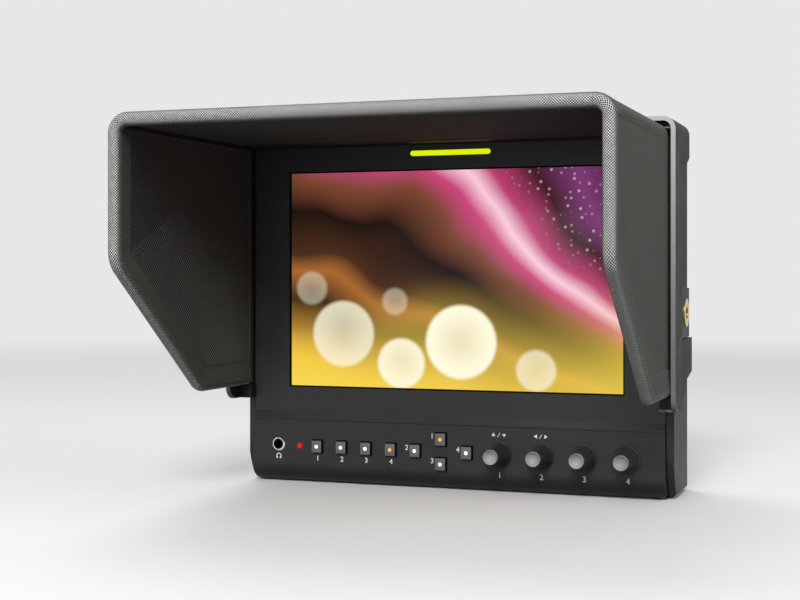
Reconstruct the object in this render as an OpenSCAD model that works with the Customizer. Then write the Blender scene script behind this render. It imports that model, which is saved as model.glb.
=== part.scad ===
// Camera field monitor with a folding sun hood.
// +X is to the right as the screen is read, +Z is up and the screen faces -Y. Millimetres.
// The origin is the mouth of the tripod socket in the base. Inside the modules, Y is
// measured from the bezel's front plane, and place() moves each piece to the origin.

/* [Screen] */
// Width of the picture seen through the bezel
screen_w = 150.7; // [136:0.1:165]
// Height of the picture seen through the bezel
screen_h = 95.6; // [87:0.1:105]
// Height of the picture's lower edge above the base
screen_z = 42.2; // [41:0.1:43]
// Thickness of the cover window
window_t = 1.2; // [0.8:0.1:1.6]
// Thickness of the display cell
cell_t = 2; // [1.5:0.1:2.4]
// Thickness of the backlight
backlight_t = 3.4; // [2.5:0.1:3.6]

/* [Casing] */
// Width of the bezel at each side of the picture
side_border = 16.85; // [16:0.05:18]
// Height of the bezel above the picture
top_border = 10.4; // [10.2:0.1:12]
// Depth of the front shell behind the bezel plane
front_d = 9; // [8.8:0.1:9.4]
// Wall of the front shell
front_wall = 2.4; // [2:0.1:2.8]
// How far the rear shell stands out beyond the front shell at each side
rim_w = 3.3; // [3:0.1:3.6]
// How far the rear shell stands out above the front shell
rim_h = 3; // [2.8:0.1:3.4]
// Depth from the bezel plane to the rear face
rear_d = 38.5; // [37:0.1:40]
// Wall of the rear shell
rear_wall = 2.4; // [2:0.1:2.8]
// Groove between the front shell and the rear shell's rim
seam = 0.3; // [0.2:0.05:0.4]
// How far the rear shell's rim lies behind the bezel plane
rim_y = 0.3; // [0.2:0.1:0.8]
// How far the rim slopes back across its width
rim_slope = 1.2; // [0.8:0.1:2]
// Height below which the rim curves back towards the base
rim_bend_z = 22; // [18:0.5:24]
// Radius of that curve
rim_bend_r = 36; // [32:0.5:40]
// Radius along the front shell's lower edge
front_r = 8; // [6:0.5:9]
// Radius along the rear shell's lower edge
base_r = 4; // [3:0.5:6]
// Radius of the rear shell's upright edges
rear_r = 4; // [3:0.5:6]

/* [Control strip] */
// Height of the control strip
strip_h = 28; // [27:0.1:29]
// How far the strip stands in front of the bezel
strip_proud = 1.6; // [1:0.1:2]
// Height of the row of source buttons and of the knobs
row_z = 16.3; // [15.5:0.1:17]
// Width of a button cap
cap_w = 4.6; // [4:0.1:5]
// Height of a button cap
cap_h = 5.3; // [4.6:0.1:5.5]
// How far a cap stands out of the strip
cap_proud = 1.8; // [1.4:0.1:2.4]
// Gap between a button cap and the edge of its hole
cap_gap = 0.45; // [0.3:0.05:0.5]
// Travel of a button
travel = 0.6; // [0.3:0.1:0.8]
// X of the first source button; this and the next X and pitches are for a picture 150.7 wide
source_x = -60.9; // [-62:0.1:-60]
// Pitch of the source buttons
source_pitch = 11.5; // [11:0.1:11.6]
// X of the middle of the function pad
pad_x = -3.5; // [-4.5:0.1:-3]
// Half the width of the function pad, between button centres
pad_dx = 11.6; // [9:0.1:12]
// Half the height of the function pad, between button centres
pad_dz = 5.3; // [5:0.1:5.6]
// X of the first knob
knob_x = 21.9; // [21:0.1:22.3]
// Pitch of the knobs
knob_pitch = 18.2; // [16:0.1:18.4]
// Radius of a knob at the strip
knob_r = 5.9; // [5.4:0.1:6]
// Radius of a knob's cap
knob_cap_r = 3.1; // [2.9:0.05:3.4]
// How far a knob stands out of the strip
knob_len = 12.6; // [11:0.1:14]
// Ribs round a knob
knob_ribs = 24; // [12:1:30]
// Radius of an encoder shaft
shaft_r = 1.5; // [1.2:0.05:1.6]
// X of the headphone socket
jack_x = -79.7; // [-81:0.1:-79.4]
// Height of the headphone socket
jack_z = 16.8; // [15:0.1:18]
// Radius of the headphone socket's bore
jack_bore = 1.8; // [1.75:0.01:1.85]
// Radius of the headphone socket's ring
jack_r = 3.05; // [2.8:0.05:3.3]
// X of the power lamp
lamp_x = -69.5; // [-70.2:0.1:-69.2]
// Radius of the power lamp
lamp_r = 1.2; // [1.1:0.05:1.4]

/* [Tally light] */
// Width of the tally light
tally_w = 36; // [24:1:50]
// Height of the tally light
tally_h = 2.2; // [1.8:0.1:2.2]
// Distance from the front shell's top down to the tally light's middle
tally_drop = 3.6; // [3.2:0.1:3.7]

/* [Sun hood] */
// Depth of the hood in front of the bezel
hood_d = 120; // [118:0.5:124]
// Thickness of a hood panel
panel_t = 3.5; // [3:0.1:3.6]
// Radius of the rolled edge round the panels
bead_r = 2.7; // [2.4:0.05:2.75]
// Gap between a side panel and the bracket's arm
panel_gap = 1.3; // [1.25:0.05:1.6]
// Gap between the lid and the bracket's roof
lid_gap = 1.15; // [1.1:0.05:1.2]
// Height of the side panels' lower edge
side_z = 43.2; // [43:0.1:47]
// Height where a side panel's slanting edge meets its front edge
slant_z = 97; // [85:1:110]
// Distance from the bezel to where the slanting edge meets the lower edge
slant_y = 50.5; // [42:0.5:60]
// Radius of the side panels' corners
panel_r = 9; // [5:0.5:12]
// Width of the turned border round the side panels' lining
border = 11.5; // [8:0.5:14]
// Depth of the lining below the border
lining_d = 0.3; // [0.2:0.05:0.5]
// Gap between panels, folded or open
fold_gap = 0.3; // [0.25:0.01:0.32]

/* [Hood bracket] */
// Sheet thickness of the bracket
bracket_t = 1.85; // [1.6:0.05:2.1]
// Height of the spacer between the casing's top and the bracket's roof
roof_gap = 2.15; // [2.1:0.05:2.4]
// Gap between the casing's sides and the bracket's arms, where no pad fills it
arm_gap = 1.5; // [1.4:0.05:1.8]
// How far the bracket reaches in front of the bezel
bracket_front = 16; // [15.6:0.1:18]
// Outer radius of the bracket's upper corners
bracket_r = 5; // [4.6:0.1:5.6]
// Radius of the side panels' hinge barrels
barrel_r = 2.4; // [2:0.1:2.5]
// Radius of the side hinge pins
pin_r = 0.9; // [0.7:0.05:1]
// Radius of the lid's rod
rod_r = 1; // [0.8:0.05:1.1]

/* [Mounts] */
// Distance from the bezel plane back to the tripod socket
socket_y = 15; // [14.5:0.1:15.5]
// Radius of a quarter inch camera thread's wall
camera_thread_r = 2.6; // [2.5:0.05:3.1]
// Length of the threaded wall in the base
base_thread = 8.4; // [6:0.1:8.6]
// Length of the threaded walls at the sides
side_thread = 7; // [5:0.1:8]
// Distance from the bezel plane back to the side sockets
side_socket_y = 13.8; // [13.7:0.1:14.5]
// Height of the side sockets
side_socket_z = 76.4; // [75.5:0.1:77.5]
// How far the side sockets' bosses stand proud of the casing
socket_proud = 2.7; // [2:0.1:3.2]
// Spacing of the rear plate's threaded holes
plate_pitch = 75; // [60:1:80]
// How far the middle of the rear plate's holes lies above the picture's middle
plate_rise = 3; // [1:0.5:5]
// Radius of a rear hole's thread wall
plate_thread_r = 1.65; // [1.2:0.05:2]

/* [Connectors] */
// Number of coaxial sockets in the rear bay
coax_count = 6; // [4:1:6]
// Pitch of the coaxial sockets, for a picture 150.7 wide
coax_pitch = 18; // [15:0.5:18]
// Radius of a coaxial socket
coax_r = 4.8; // [4.5:0.1:5]
// Distance from the main board's back to the bay's floor, room for the sockets' bodies
socket_room = 6.4; // [6:0.1:8]
// Height of the bay's lower wall above the base
bay_z = 15; // [14:0.5:17]
// Height of the bay's opening
bay_h = 29; // [24:0.5:30]
// Distance from the casing's side to the bay's end
bay_inset = 13.5; // [13.5:0.5:15.5]
// Angle that the power rocker rests at, each side of its middle
rocker_tip = 10; // [6:1:11]

/* [Hidden] */
$fn = 64;
eps = 0.01;
fit = 0.05;      // running clearance round a shaft or pin
slip = 0.15;     // clearance round the window and the cell
seat = 0.02;     // radial clearance of a pressed or threaded piece
tuck = 0.5;      // how far a straight piece of the bead runs into a bend
spread = screen_w / 150.7;  // how far apart the controls and sockets stand
front_w = screen_w + 2 * side_border;
front_h = screen_z + screen_h + top_border;
rear_w = front_w + 2 * rim_w;
rear_h = front_h + rim_h;
arm_in = rear_w / 2 + arm_gap;
roof_in = rear_h + roof_gap;
bracket_w = 2 * (arm_in + bracket_t);
bracket_h = roof_in + bracket_t;
hood_in_w = 2 * (arm_in - panel_gap - panel_t);
lid_z = roof_in - lid_gap - panel_t;
tally_z = front_h - tally_drop;
strip_y = -strip_proud;
strip_in = strip_y + front_wall;
face_t = 2;      // thickness of the bezel round the picture
lip_t = 1;       // thickness of the lip in front of the window
window_w = screen_w + 7.6;
window_h = screen_h + 6;
cell_y = face_t + 0.3;
screen_mid = screen_z + screen_h / 2;
cell_w = screen_w + 10.2;
cell_h = screen_h + 8;
light_y = cell_y + cell_t;
chassis_t = 0.8;
chassis_y = light_y + backlight_t;
chassis_w = cell_w + 2.6;
chassis_h = cell_h + 2.6;
tab_x = front_w / 2 - 6.2;
tab_z = [screen_mid - 37, screen_mid + 38];
control_y = 8;   // front face of the control board
control_t = 1.4;
board_y = control_y + control_t + 1.6;
board_t = 1.6;
source_xs = [for (i = [0:3]) spread * (source_x + i * source_pitch)];
pad = [[spread * pad_x, row_z + pad_dz], [spread * (pad_x - pad_dx), row_z],
  [spread * pad_x, row_z - pad_dz], [spread * (pad_x + pad_dx), row_z]];
knob_xs = [for (i = [0:3]) spread * (knob_x + i * knob_pitch)];
lamp_at = spread * lamp_x;
jack_at = spread * jack_x;
strip_bosses = [(source_xs[0] + source_xs[1]) / 2, (pad[3][0] + knob_xs[0]) / 2 - 0.4,
  (knob_xs[2] + knob_xs[3]) / 2];
jack_half = 4;   // half the headphone socket's body
board_half = -jack_at - jack_half - 0.5;
post_x = board_half - 8;
post_z = [screen_mid - 30, screen_mid + 40];
plate_z = screen_mid + plate_rise;
bay_half = rear_w / 2 - bay_inset;
cavity_half = rear_w / 2 - 4.3;
rear_in = rear_d - rear_wall;
bay_y = board_y + board_t + socket_room;
bay_mid = bay_z + bay_h / 2 - 1;
coax_xs = [for (i = [0:coax_count - 1]) bay_half - 8 - spread * i * coax_pitch];
rocker_x = -bay_half + 13;
dc_x = rocker_x + 18 * spread;
hdmi_x = dc_x + 17 * spread;
grille_x = rear_w / 2 - 29.5;
grille_z = screen_mid + 8;
lid_half = hood_in_w / 2 - (bead_r - panel_t / 2) - fold_gap - 0.05;
side_x = hood_in_w / 2 + panel_t / 2;
lid_mid = lid_z + panel_t / 2;
side_top = lid_z - (bead_r - panel_t / 2) - fold_gap - 0.05;
edge_y = -hood_d + bead_r;
layer = 2 * bead_r + 0.1;   // the beads cross one another when the panels are folded
left_axis = -bead_r - fold_gap;
right_axis = left_axis - layer;
lid_axis = right_axis - layer;
lid_barrel_r = 2.3;
corner_line = 8 - bead_r;
ear_z = side_z - 6;
screw_r = 1.25;
notch_y = side_socket_y - 12.8;
notch_half = 10.6;   // half the height of the notch in the bracket's arm
arm_r = 6;           // radius of the arm's lower front corner
boss_face = rear_w / 2 + socket_proud;
spacer_half = lid_half - 6.3;
bracket_screws_at = [for (p = [[-70, 12], [-25, 12], [25, 12], [70, 12], [-48, -4], [0, -4],
  [48, -4]]) [spread * p[0], p[1]]];

// Moves a piece from the bezel's frame to the tripod socket's
module place() {
  translate([0, -socket_y, 0])
    children();
}

// A flat (y, z) shape carried from x0 to x1
module along_x(x0, x1) {
  translate([x0, 0, 0])
    rotate([90, 0, 90])
      linear_extrude(x1 - x0)
        children();
}

// A flat (x, z) shape carried from y0 to y1
module along_y(y0, y1) {
  translate([0, y1, 0])
    rotate([90, 0, 0])
      linear_extrude(y1 - y0)
        children();
}

// A flat (x, y) shape carried from z0 to z1
module along_z(z0, z1) {
  translate([0, 0, z0])
    linear_extrude(z1 - z0)
      children();
}

// A block between two corners
module block(a, b) {
  translate(a)
    cube(b - a);
}

// A rod along Y
module rod_y(x, z, r, y0, y1) {
  translate([x, y1, z])
    rotate([90, 0, 0])
      cylinder(r = r, h = y1 - y0);
}

// A rod along X
module rod_x(y, z, r, x0, x1) {
  translate([x0, y, z])
    rotate([0, 90, 0])
      cylinder(r = r, h = x1 - x0);
}

// A flat rectangle with round corners, one radius for the low corners and one for the high
module round_rect(x0, x1, y0, y1, low, high) {
  polygon([[x0 + low, y0], [x1 - low, y0], [x1, y0 + low], [x1, y1 - high],
    [x1 - high, y1], [x0 + high, y1], [x0, y1 - high], [x0, y0 + low]]);
  for (x = [x0 + low, x1 - low])
    translate([x, y0 + low])
      circle(r = low);
  for (x = [x0 + high, x1 - high])
    translate([x, y1 - high])
      circle(r = high);
}

// ---- Casing ----

// The front shell's outer block; in is how far its walls lie inside the outside
module front_block(in, back) {
  half = front_w / 2 - in;
  intersection() {
    along_x(-half, half)
      union() {
        polygon([[in, front_h - in], [back, front_h - in], [back, in],
          [strip_y + front_r, in], [strip_y + in, front_r], [strip_y + in, strip_h + 0.6],
          [in, strip_h + 3.4], [in, strip_h + 4]]);
        translate([strip_y + front_r, front_r])
          circle(r = front_r - in);
      }
    along_y(strip_y, back)
      round_rect(-half, half, in, front_h - in, 2.6 - in * 0.6, 1.6);
  }
}

module front_shell() {
  color([0.13, 0.13, 0.135])
    difference() {
      union() {
        difference() {
          front_block(0, front_d);
          front_block_hollow();
        }
        for (x = [-tab_x, tab_x], z = tab_z)
          rod_y(x, z, 3, face_t - eps, chassis_y);
        for (x = strip_bosses)
          rod_y(x, row_z + 7.2, 1.8, strip_in - eps, control_y);
      }
      // picture opening, with the window's pocket behind the lip
      translate([-screen_w / 2, -1, screen_z])
        cube([screen_w, face_t + 2, screen_h]);
      translate([-window_w / 2 - slip, lip_t, screen_mid - window_h / 2 - slip])
        cube([window_w + 2 * slip, face_t, window_h + 2 * slip]);
      // groove below the crease
      block([-front_w, strip_y - 1, strip_h - 0.5], [front_w, strip_y + 0.45, strip_h]);
      // tally slot
      tally_bar(tally_h / 2 + 0.03, -1, front_d);
      // caps, lamp, headphone ring and encoder bushes
      for (x = source_xs)
        cap_hole(x, row_z);
      for (p = pad)
        cap_hole(p[0], p[1]);
      for (x = knob_xs)
        rod_y(x, row_z, 2.8, strip_y - 1, strip_in + 1);
      rod_y(lamp_at, row_z, lamp_r + seat, strip_y - 1, strip_in + 1);
      rod_y(jack_at, jack_z, jack_r + seat, strip_y - 1, strip_in + 1);
      for (x = [-tab_x, tab_x], z = tab_z)
        rod_y(x, z, 1.5 + seat, face_t + 1, front_d);
    }
}

// What the front shell holds: open at the back, with the strip's own wall in front
module front_block_hollow() {
  half = front_w / 2 - front_wall;
  block([-half, face_t, front_wall], [half, front_d + 1, front_h - front_wall]);
  block([-half, strip_in, front_wall + front_r * 0.5], [half, front_d, strip_h - 1.4]);
}

module cap_hole(x, z) {
  translate([x - cap_w / 2 - cap_gap, strip_y - 1, z - cap_h / 2 - cap_gap])
    cube([cap_w + 2 * cap_gap, front_wall + 2, cap_h + 2 * cap_gap]);
}

module tally_bar(r, y0, y1) {
  along_y(y0, y1)
    translate([0, tally_z])
      union() {
        square([tally_w - tally_h, 2 * r], center = true);
        for (s = [-1, 1])
          translate([s * (tally_w - tally_h) / 2, 0])
            circle(r = r);
      }
}

module rear_block() {
  half = rear_w / 2;
  rim_in = half - rim_w + 0.5;
  intersection() {
    along_x(-half, half)
      union() {
        polygon([[rim_y, 0], [rim_y, rear_h], [rear_d - rear_r, rear_h],
          [rear_d, rear_h - rear_r], [rear_d, base_r], [rear_d - base_r, 0]]);
        translate([rear_d - rear_r, rear_h - rear_r])
          circle(r = rear_r);
        translate([rear_d - base_r, base_r])
          circle(r = base_r);
      }
    along_z(0, rear_h)
      union() {
        polygon([[-rim_in, rim_y], [rim_in, rim_y], [half, rim_y + rim_slope],
          [half, rear_d - rear_r], [half - rear_r, rear_d], [rear_r - half, rear_d],
          [-half, rear_d - rear_r], [-half, rim_y + rim_slope]]);
        for (s = [-1, 1])
          translate([s * (half - rear_r), rear_d - rear_r])
            circle(r = rear_r);
      }
    along_y(0, rear_d)
      round_rect(-half, half, 0, rear_h, 3, 4);
    // the rim curves back towards the base
    along_x(-half, half)
      union() {
        polygon([[0, rim_bend_z], [0, rear_h], [rear_d, rear_h], [rear_d, rim_bend_z]]);
        translate([rim_y + rim_bend_r, rim_bend_z])
          circle(r = rim_bend_r);
      }
  }
}

module rear_shell() {
  color([0.115, 0.115, 0.12])
    difference() {
      union() {
        difference() {
          rear_block();
          block([-front_w / 2 - seam, -1, -1],
            [front_w / 2 + seam, front_d + 0.1, front_h + seam]);
          block([-cavity_half, front_d, rear_wall],
            [cavity_half, rear_in, rear_h - rear_wall]);
        }
        // the connector bay's own walls
        intersection() {
          rear_block();
          block([-bay_half - 2, bay_y - rear_wall, bay_z - 2],
            [bay_half + 2, rear_d, bay_z + bay_h + 2]);
        }
        // posts for the case screws, the main board and the rear plate
        for (x = [-tab_x, tab_x], z = tab_z)
          rod_y(x, z, 3.4, chassis_y + chassis_t, rear_in + eps);
        for (x = [-post_x, post_x], z = post_z)
          rod_y(x, z, 3, board_y + board_t, rear_in + eps);
        for (s = [-1, 1], t = [-1, 1])
          rod_y(s * plate_pitch / 2, plate_z + t * plate_pitch / 2, 4.8, rear_d - 10,
            rear_in + eps);
        // bosses round the tripod socket and the side sockets
        intersection() {
          translate([0, socket_y, 0])
            cylinder(r = 6.4, h = base_thread + 0.6);
          block([-9, front_d + 0.1, rear_wall - eps], [9, rear_in, 12]);
        }
        for (s = [-1, 1])
          scale([s, 1, 1])
            block([rear_w / 2 - 1, notch_y + 0.4, side_socket_z - notch_half + 0.4],
              [boss_face, side_socket_y + 8.9, side_socket_z + notch_half - 0.4]);
      }
      // the bay, and what stands in its floor
      block([-bay_half, bay_y, bay_z], [bay_half, rear_d + 1, bay_z + bay_h]);
      for (i = [0:coax_count - 1])
        rod_y(coax_xs[i], bay_mid, coax_r + seat, board_y, bay_y + 1);
      rod_y(dc_x, bay_mid, 4.2 + seat, board_y, bay_y + 1);
      block([hdmi_x - 7.6, board_y, bay_mid - 3.1], [hdmi_x + 7.6, bay_y + 1, bay_mid + 3.1]);
      block([rocker_x - 6.6, board_y, bay_mid - 5.1], [rocker_x + 6.6, bay_y + 1, bay_mid + 5.1]);
      // camera threads' inserts
      translate([0, socket_y, -1])
        cylinder(r = 4.5 + seat, h = base_thread + 1);
      for (s = [-1, 1])
        scale([s, 1, 1]) {
          rod_x(side_socket_y, side_socket_z, 4.5 + seat, cavity_half - 4, boss_face + 1);
          rod_x(side_socket_y, side_socket_z, 5.9 + seat, boss_face - 1, boss_face + 1);
        }
      for (s = [-1, 1], t = [-1, 1])
        rod_y(s * plate_pitch / 2, plate_z + t * plate_pitch / 2, 2.8 + seat, rear_d - 8.5,
          rear_d + 1);
      // case screws
      for (x = [-tab_x, tab_x], z = tab_z) {
        rod_y(x, z, 1.5 + seat, front_d - 3, rear_d);
        rod_y(x, z, 2.9, rear_d - 8, rear_d + 1);
      }
      // bracket screws
      for (p = bracket_screws_at)
        if (p[1] > 0)
          translate([p[0], p[1], rear_h - rear_wall - 1])
            cylinder(r = screw_r + seat, h = rear_wall + 2);
      // loudspeaker grille and vents
      for (ring = [0:2], k = [0:max(0, 6 * ring - 1)])
        rod_y(grille_x + 4.2 * ring * cos(60 * k / max(ring, 1)),
          grille_z + 4.2 * ring * sin(60 * k / max(ring, 1)), 0.9, rear_in - 1, rear_d + 1);
      for (i = [-6:6], z = [screen_mid - 29.5, screen_mid + 20])
        block([i * 4.6 - 0.9, rear_in - 1, z], [i * 4.6 + 0.9, rear_d + 1, z + 15.5]);
    }
}

module case_screws() {
  color([0.2, 0.2, 0.21])
    for (x = [-tab_x, tab_x], z = tab_z)
      difference() {
        union() {
          rod_y(x, z, 1.5, face_t + 1.5, rear_d - 8);
          rod_y(x, z, 2.75, rear_d - 8, rear_d - 6);
        }
        rod_y(x, z, 1.1, rear_d - 7.2, rear_d - 5, $fn = 6);
      }
}

// ---- Display ----

module screen_window() {
  color([0.04, 0.04, 0.05])
    translate([-window_w / 2, lip_t, screen_mid - window_h / 2])
      cube([window_w, window_t, window_h]);
}

module lcd_panel() {
  color([0.75, 0.4, 0.2])
    translate([-cell_w / 2, cell_y, screen_mid - cell_h / 2])
      cube([cell_w, cell_t, cell_h]);
}

module backlight_unit() {
  color([0.9, 0.9, 0.88])
    translate([-cell_w / 2, light_y, screen_mid - cell_h / 2])
      cube([cell_w, backlight_t, cell_h]);
}

// Pressed pan round the cell and the backlight, held by four tabs under the case screws
module panel_chassis() {
  color([0.7, 0.7, 0.72])
    difference() {
      union() {
        translate([-chassis_w / 2, cell_y, screen_mid - chassis_h / 2])
          cube([chassis_w, chassis_y + chassis_t - cell_y, chassis_h]);
        for (s = [-1, 1], z = tab_z)
          scale([s, 1, 1])
            along_y(chassis_y, chassis_y + chassis_t)
              union() {
                translate([chassis_w / 2 - 1, z - 3])
                  square([tab_x - chassis_w / 2 + 1, 6]);
                translate([tab_x, z])
                  circle(r = 3);
              }
      }
      translate([-cell_w / 2 - slip, cell_y - 1, screen_mid - cell_h / 2 - slip])
        cube([cell_w + 2 * slip, chassis_y - cell_y + 1, cell_h + 2 * slip]);
      for (x = [-tab_x, tab_x], z = tab_z)
        rod_y(x, z, 1.5 + seat, chassis_y - 1, chassis_y + 2);
    }
}

module panel_ribbon() {
  color([0.75, 0.45, 0.15])
    block([-40, chassis_y + chassis_t, screen_mid - 20],
      [-12, board_y, screen_mid - 19.7]);
}

// ---- Electronics ----

module main_board() {
  color([0.05, 0.3, 0.15])
    difference() {
      block([-board_half, board_y, bay_z - 2],
        [board_half, board_y + board_t, screen_mid + 46]);
      rod_y(grille_x, grille_z, 15, board_y - 1, board_y + board_t + 1);
    }
}

// Processor with its heat spreader, memory, converters and coils on the board's back
module board_parts() {
  y = board_y + board_t;
  color([0.08, 0.08, 0.09]) {
    block([-14, y, screen_mid - 6], [14, y + 2, screen_mid + 22]);
    for (x = spread * [22, 36])
      block([x, y, screen_mid], [x + 11, y + 1.2, screen_mid + 14]);
    for (x = spread * [-44, -30])
      block([x, y, screen_mid - 6], [x + 9, y + 1.6, screen_mid + 3]);
    for (x = spread * [-54, -40, -26])
      rod_y(x, screen_mid - 30, 3.2, y, y + 6);
    for (x = spread * [-2, 12, 26])
      block([x, y, screen_mid - 34], [x + 8, y + 4, screen_mid - 26]);
  }
}

module control_board() {
  color([0.05, 0.3, 0.15])
    difference() {
      block([lamp_at - 3.6, control_y, base_thread + 1],
        [knob_xs[3] + 7, control_y + control_t, strip_h - 1]);
      rod_y(lamp_at, row_z, 0.6, control_y - 1, control_y + 3);
    }
}

// Eight push switches, one behind each cap
module button_switches() {
  color([0.25, 0.25, 0.26]) {
    for (x = source_xs)
      push_switch(x, row_z);
    for (p = pad)
      push_switch(p[0], p[1]);
  }
}

module push_switch(x, z) {
  block([x - 2.6, control_y - 2.6, z - 2.6], [x + 2.6, control_y, z + 2.6]);
}

// Four encoders: body, threaded bush through the strip, and a bore for the shaft
module encoder_bodies() {
  color([0.6, 0.6, 0.62])
    for (x = knob_xs)
      difference() {
        union() {
          block([x - 5, strip_in + 0.6, row_z - 5.2], [x + 5, control_y, row_z + 5.2]);
          rod_y(x, row_z, 2.7, strip_y - 1.2, strip_in + 1);
        }
        rod_y(x, row_z, shaft_r + fit, strip_y - 2, control_y - 0.8);
      }
}

module jack_body() {
  color([0.06, 0.06, 0.065])
    difference() {
      block([jack_at - jack_half, strip_in + 0.8, jack_z - jack_half],
        [jack_at + jack_half, 12, jack_z + jack_half]);
      rod_y(jack_at, jack_z, jack_bore, strip_in, 11);
    }
}

module jack_ring() {
  color([0.8, 0.8, 0.82])
    difference() {
      rotate_about_y(jack_at, jack_z)
        rotate_extrude()
          polygon([[0, -strip_in - 0.8], [jack_r, -strip_in - 0.8], [jack_r, -strip_y + 0.35],
            [jack_r - 0.35, -strip_y + 0.7], [0, -strip_y + 0.7]]);
      rod_y(jack_at, jack_z, jack_bore, strip_y - 2, strip_in + 2);
    }
}

// Turns an upright form so that its +Z points at the viewer, -Y
module rotate_about_y(x, z) {
  translate([x, 0, z])
    rotate([90, 0, 0])
      children();
}

module power_lamp() {
  color([0.85, 0.08, 0.05])
    union() {
      rotate_about_y(lamp_at, row_z)
        rotate_extrude()
          union() {
            translate([0, -control_y])
              square([lamp_r, control_y - strip_y]);
            intersection() {
              translate([0, -strip_y])
                circle(r = lamp_r);
              translate([0, -strip_y - 0.01])
                square([lamp_r, 0.6]);
            }
          }
    }
}

module tally_lens() {
  color([0.85, 0.95, 0.05])
    tally_bar(tally_h / 2, -0.15, face_t + 0.8);
}

module tally_board() {
  color([0.05, 0.3, 0.15]) {
    block([-tally_w / 2 - 3, face_t + 0.8, tally_z - 1.2],
      [tally_w / 2 + 3, face_t + 1.8, front_h - front_wall]);
  }
}

module speaker() {
  color([0.1, 0.1, 0.1])
    difference() {
      union() {
        rod_y(grille_x, grille_z, 14, rear_in - 2.4, rear_in);
        rod_y(grille_x, grille_z, 8, rear_in - 6, rear_in - 2);
      }
      rod_y(grille_x, grille_z, 11.5, rear_in - 1, rear_in + 1);
    }
}

// ---- Rear connectors ----

module coax_shells() {
  color([0.72, 0.72, 0.74])
    for (i = [0:coax_count - 1]) {
      x = coax_xs[i];
      difference() {
        union() {
          rod_y(x, bay_mid, coax_r, board_y + board_t, rear_d - 1);
          for (s = [-1, 1])
            translate([x + s * (coax_r + 0.4), rear_d - 4, bay_mid])
              rotate([0, 90, 0])
                cylinder(r = 0.9, h = 1.6, center = true);
        }
        rod_y(x, bay_mid, coax_r - 0.8, bay_y + 1, rear_d);
      }
    }
}

module coax_cores() {
  color([0.9, 0.88, 0.8])
    for (i = [0:coax_count - 1]) {
      x = coax_xs[i];
      difference() {
        rod_y(x, bay_mid, 2.4, bay_y + 1, rear_d - 3);
        rod_y(x, bay_mid, 0.6, rear_d - 8, rear_d);
      }
    }
}

module hdmi_socket() {
  color([0.7, 0.7, 0.72])
    difference() {
      block([hdmi_x - 7.5, board_y + board_t, bay_mid - 3],
        [hdmi_x + 7.5, bay_y + 1.2, bay_mid + 3]);
      block([hdmi_x - 7, bay_y - 4, bay_mid - 2.3], [hdmi_x + 7, bay_y + 2, bay_mid + 2.3]);
    }
}

module dc_socket() {
  color([0.06, 0.06, 0.065])
    difference() {
      rod_y(dc_x, bay_mid, 4.2, board_y + board_t, bay_y + 2);
      difference() {
        rod_y(dc_x, bay_mid, 2.8, bay_y - 3.5, bay_y + 3);
        rod_y(dc_x, bay_mid, 1, bay_y - 4, bay_y + 1.4);
      }
    }
}

module switch_housing() {
  color([0.06, 0.06, 0.065])
    difference() {
      union() {
        block([rocker_x - 6.5, board_y + board_t, bay_mid - 5],
          [rocker_x + 6.5, bay_y, bay_mid + 5]);
        block([rocker_x - 7.6, bay_y, bay_mid - 6.1], [rocker_x + 7.6, bay_y + 1.2, bay_mid + 6.1]);
      }
      block([rocker_x - 5.6, bay_y - 3.4, bay_mid - 4.1], [rocker_x + 5.6, bay_y + 2, bay_mid + 4.1]);
      rod_x(bay_y - 0.6, bay_mid, 0.8 + fit, rocker_x - 7, rocker_x + 7);
    }
}

// Rocker that tips about its own pin, shown switched off
module power_rocker() {
  color([0.5, 0.05, 0.04])
    translate([0, bay_y - 0.6, bay_mid])
      rotate([-rocker_tip, 0, 0])
        union() {
          rod_x(0, 0, 0.8, rocker_x - 6.2, rocker_x + 6.2);
          along_x(rocker_x - 5.3, rocker_x + 5.3)
            polygon([[-1, -1.2], [-1, 1.2], [1.2, 3.3], [2.8, 3.4], [2.1, 0], [2.8, -3.4],
              [1.2, -3.3]]);
        }
}

// ---- Camera threads and the rear plate's holes ----

module base_insert() {
  color([0.75, 0.6, 0.25])
    difference() {
      translate([0, socket_y, 0])
        cylinder(r = 4.5, h = base_thread);
      translate([0, socket_y, -1])
        cylinder(r = camera_thread_r, h = base_thread + 2);
    }
}

module side_inserts() {
  color([0.75, 0.6, 0.25])
    for (s = [-1, 1])
      scale([s, 1, 1])
        difference() {
          union() {
            rod_x(side_socket_y, side_socket_z, 4.5, boss_face + 0.5 - side_thread, boss_face);
            rod_x(side_socket_y, side_socket_z, 5.9, boss_face - 1, boss_face + 0.5);
          }
          rod_x(side_socket_y, side_socket_z, camera_thread_r, boss_face - side_thread,
            boss_face + 1);
        }
}

module plate_inserts() {
  color([0.75, 0.6, 0.25])
    for (s = [-1, 1], t = [-1, 1])
      difference() {
        rod_y(s * plate_pitch / 2, plate_z + t * plate_pitch / 2, 2.8, rear_d - 8.5, rear_d);
        rod_y(s * plate_pitch / 2, plate_z + t * plate_pitch / 2, plate_thread_r, rear_d - 9,
          rear_d + 1);
      }
}

// ---- Buttons and knobs ----

module button(x, z, glow) {
  back = strip_in + 0.1;
  color([0.42, 0.42, 0.43])
    difference() {
      union() {
        block([x - cap_w / 2, strip_y - cap_proud, z - cap_h / 2],
          [x + cap_w / 2, back + eps, z + cap_h / 2]);
        block([x - cap_w / 2 - cap_gap - 0.4, back, z - cap_h / 2 + 0.2],
          [x + cap_w / 2 + cap_gap + 0.4, back + 0.8, z + cap_h / 2 - 0.2]);
        rod_y(x, z, 1.2, back, control_y - 2.6 - travel - 0.05);
      }
      rod_y(x, z, 0.8, strip_y - cap_proud - 1, strip_y);
    }
  color(glow)
    rod_y(x, z, 0.78, strip_y - cap_proud - 0.05, strip_y);
}

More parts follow.
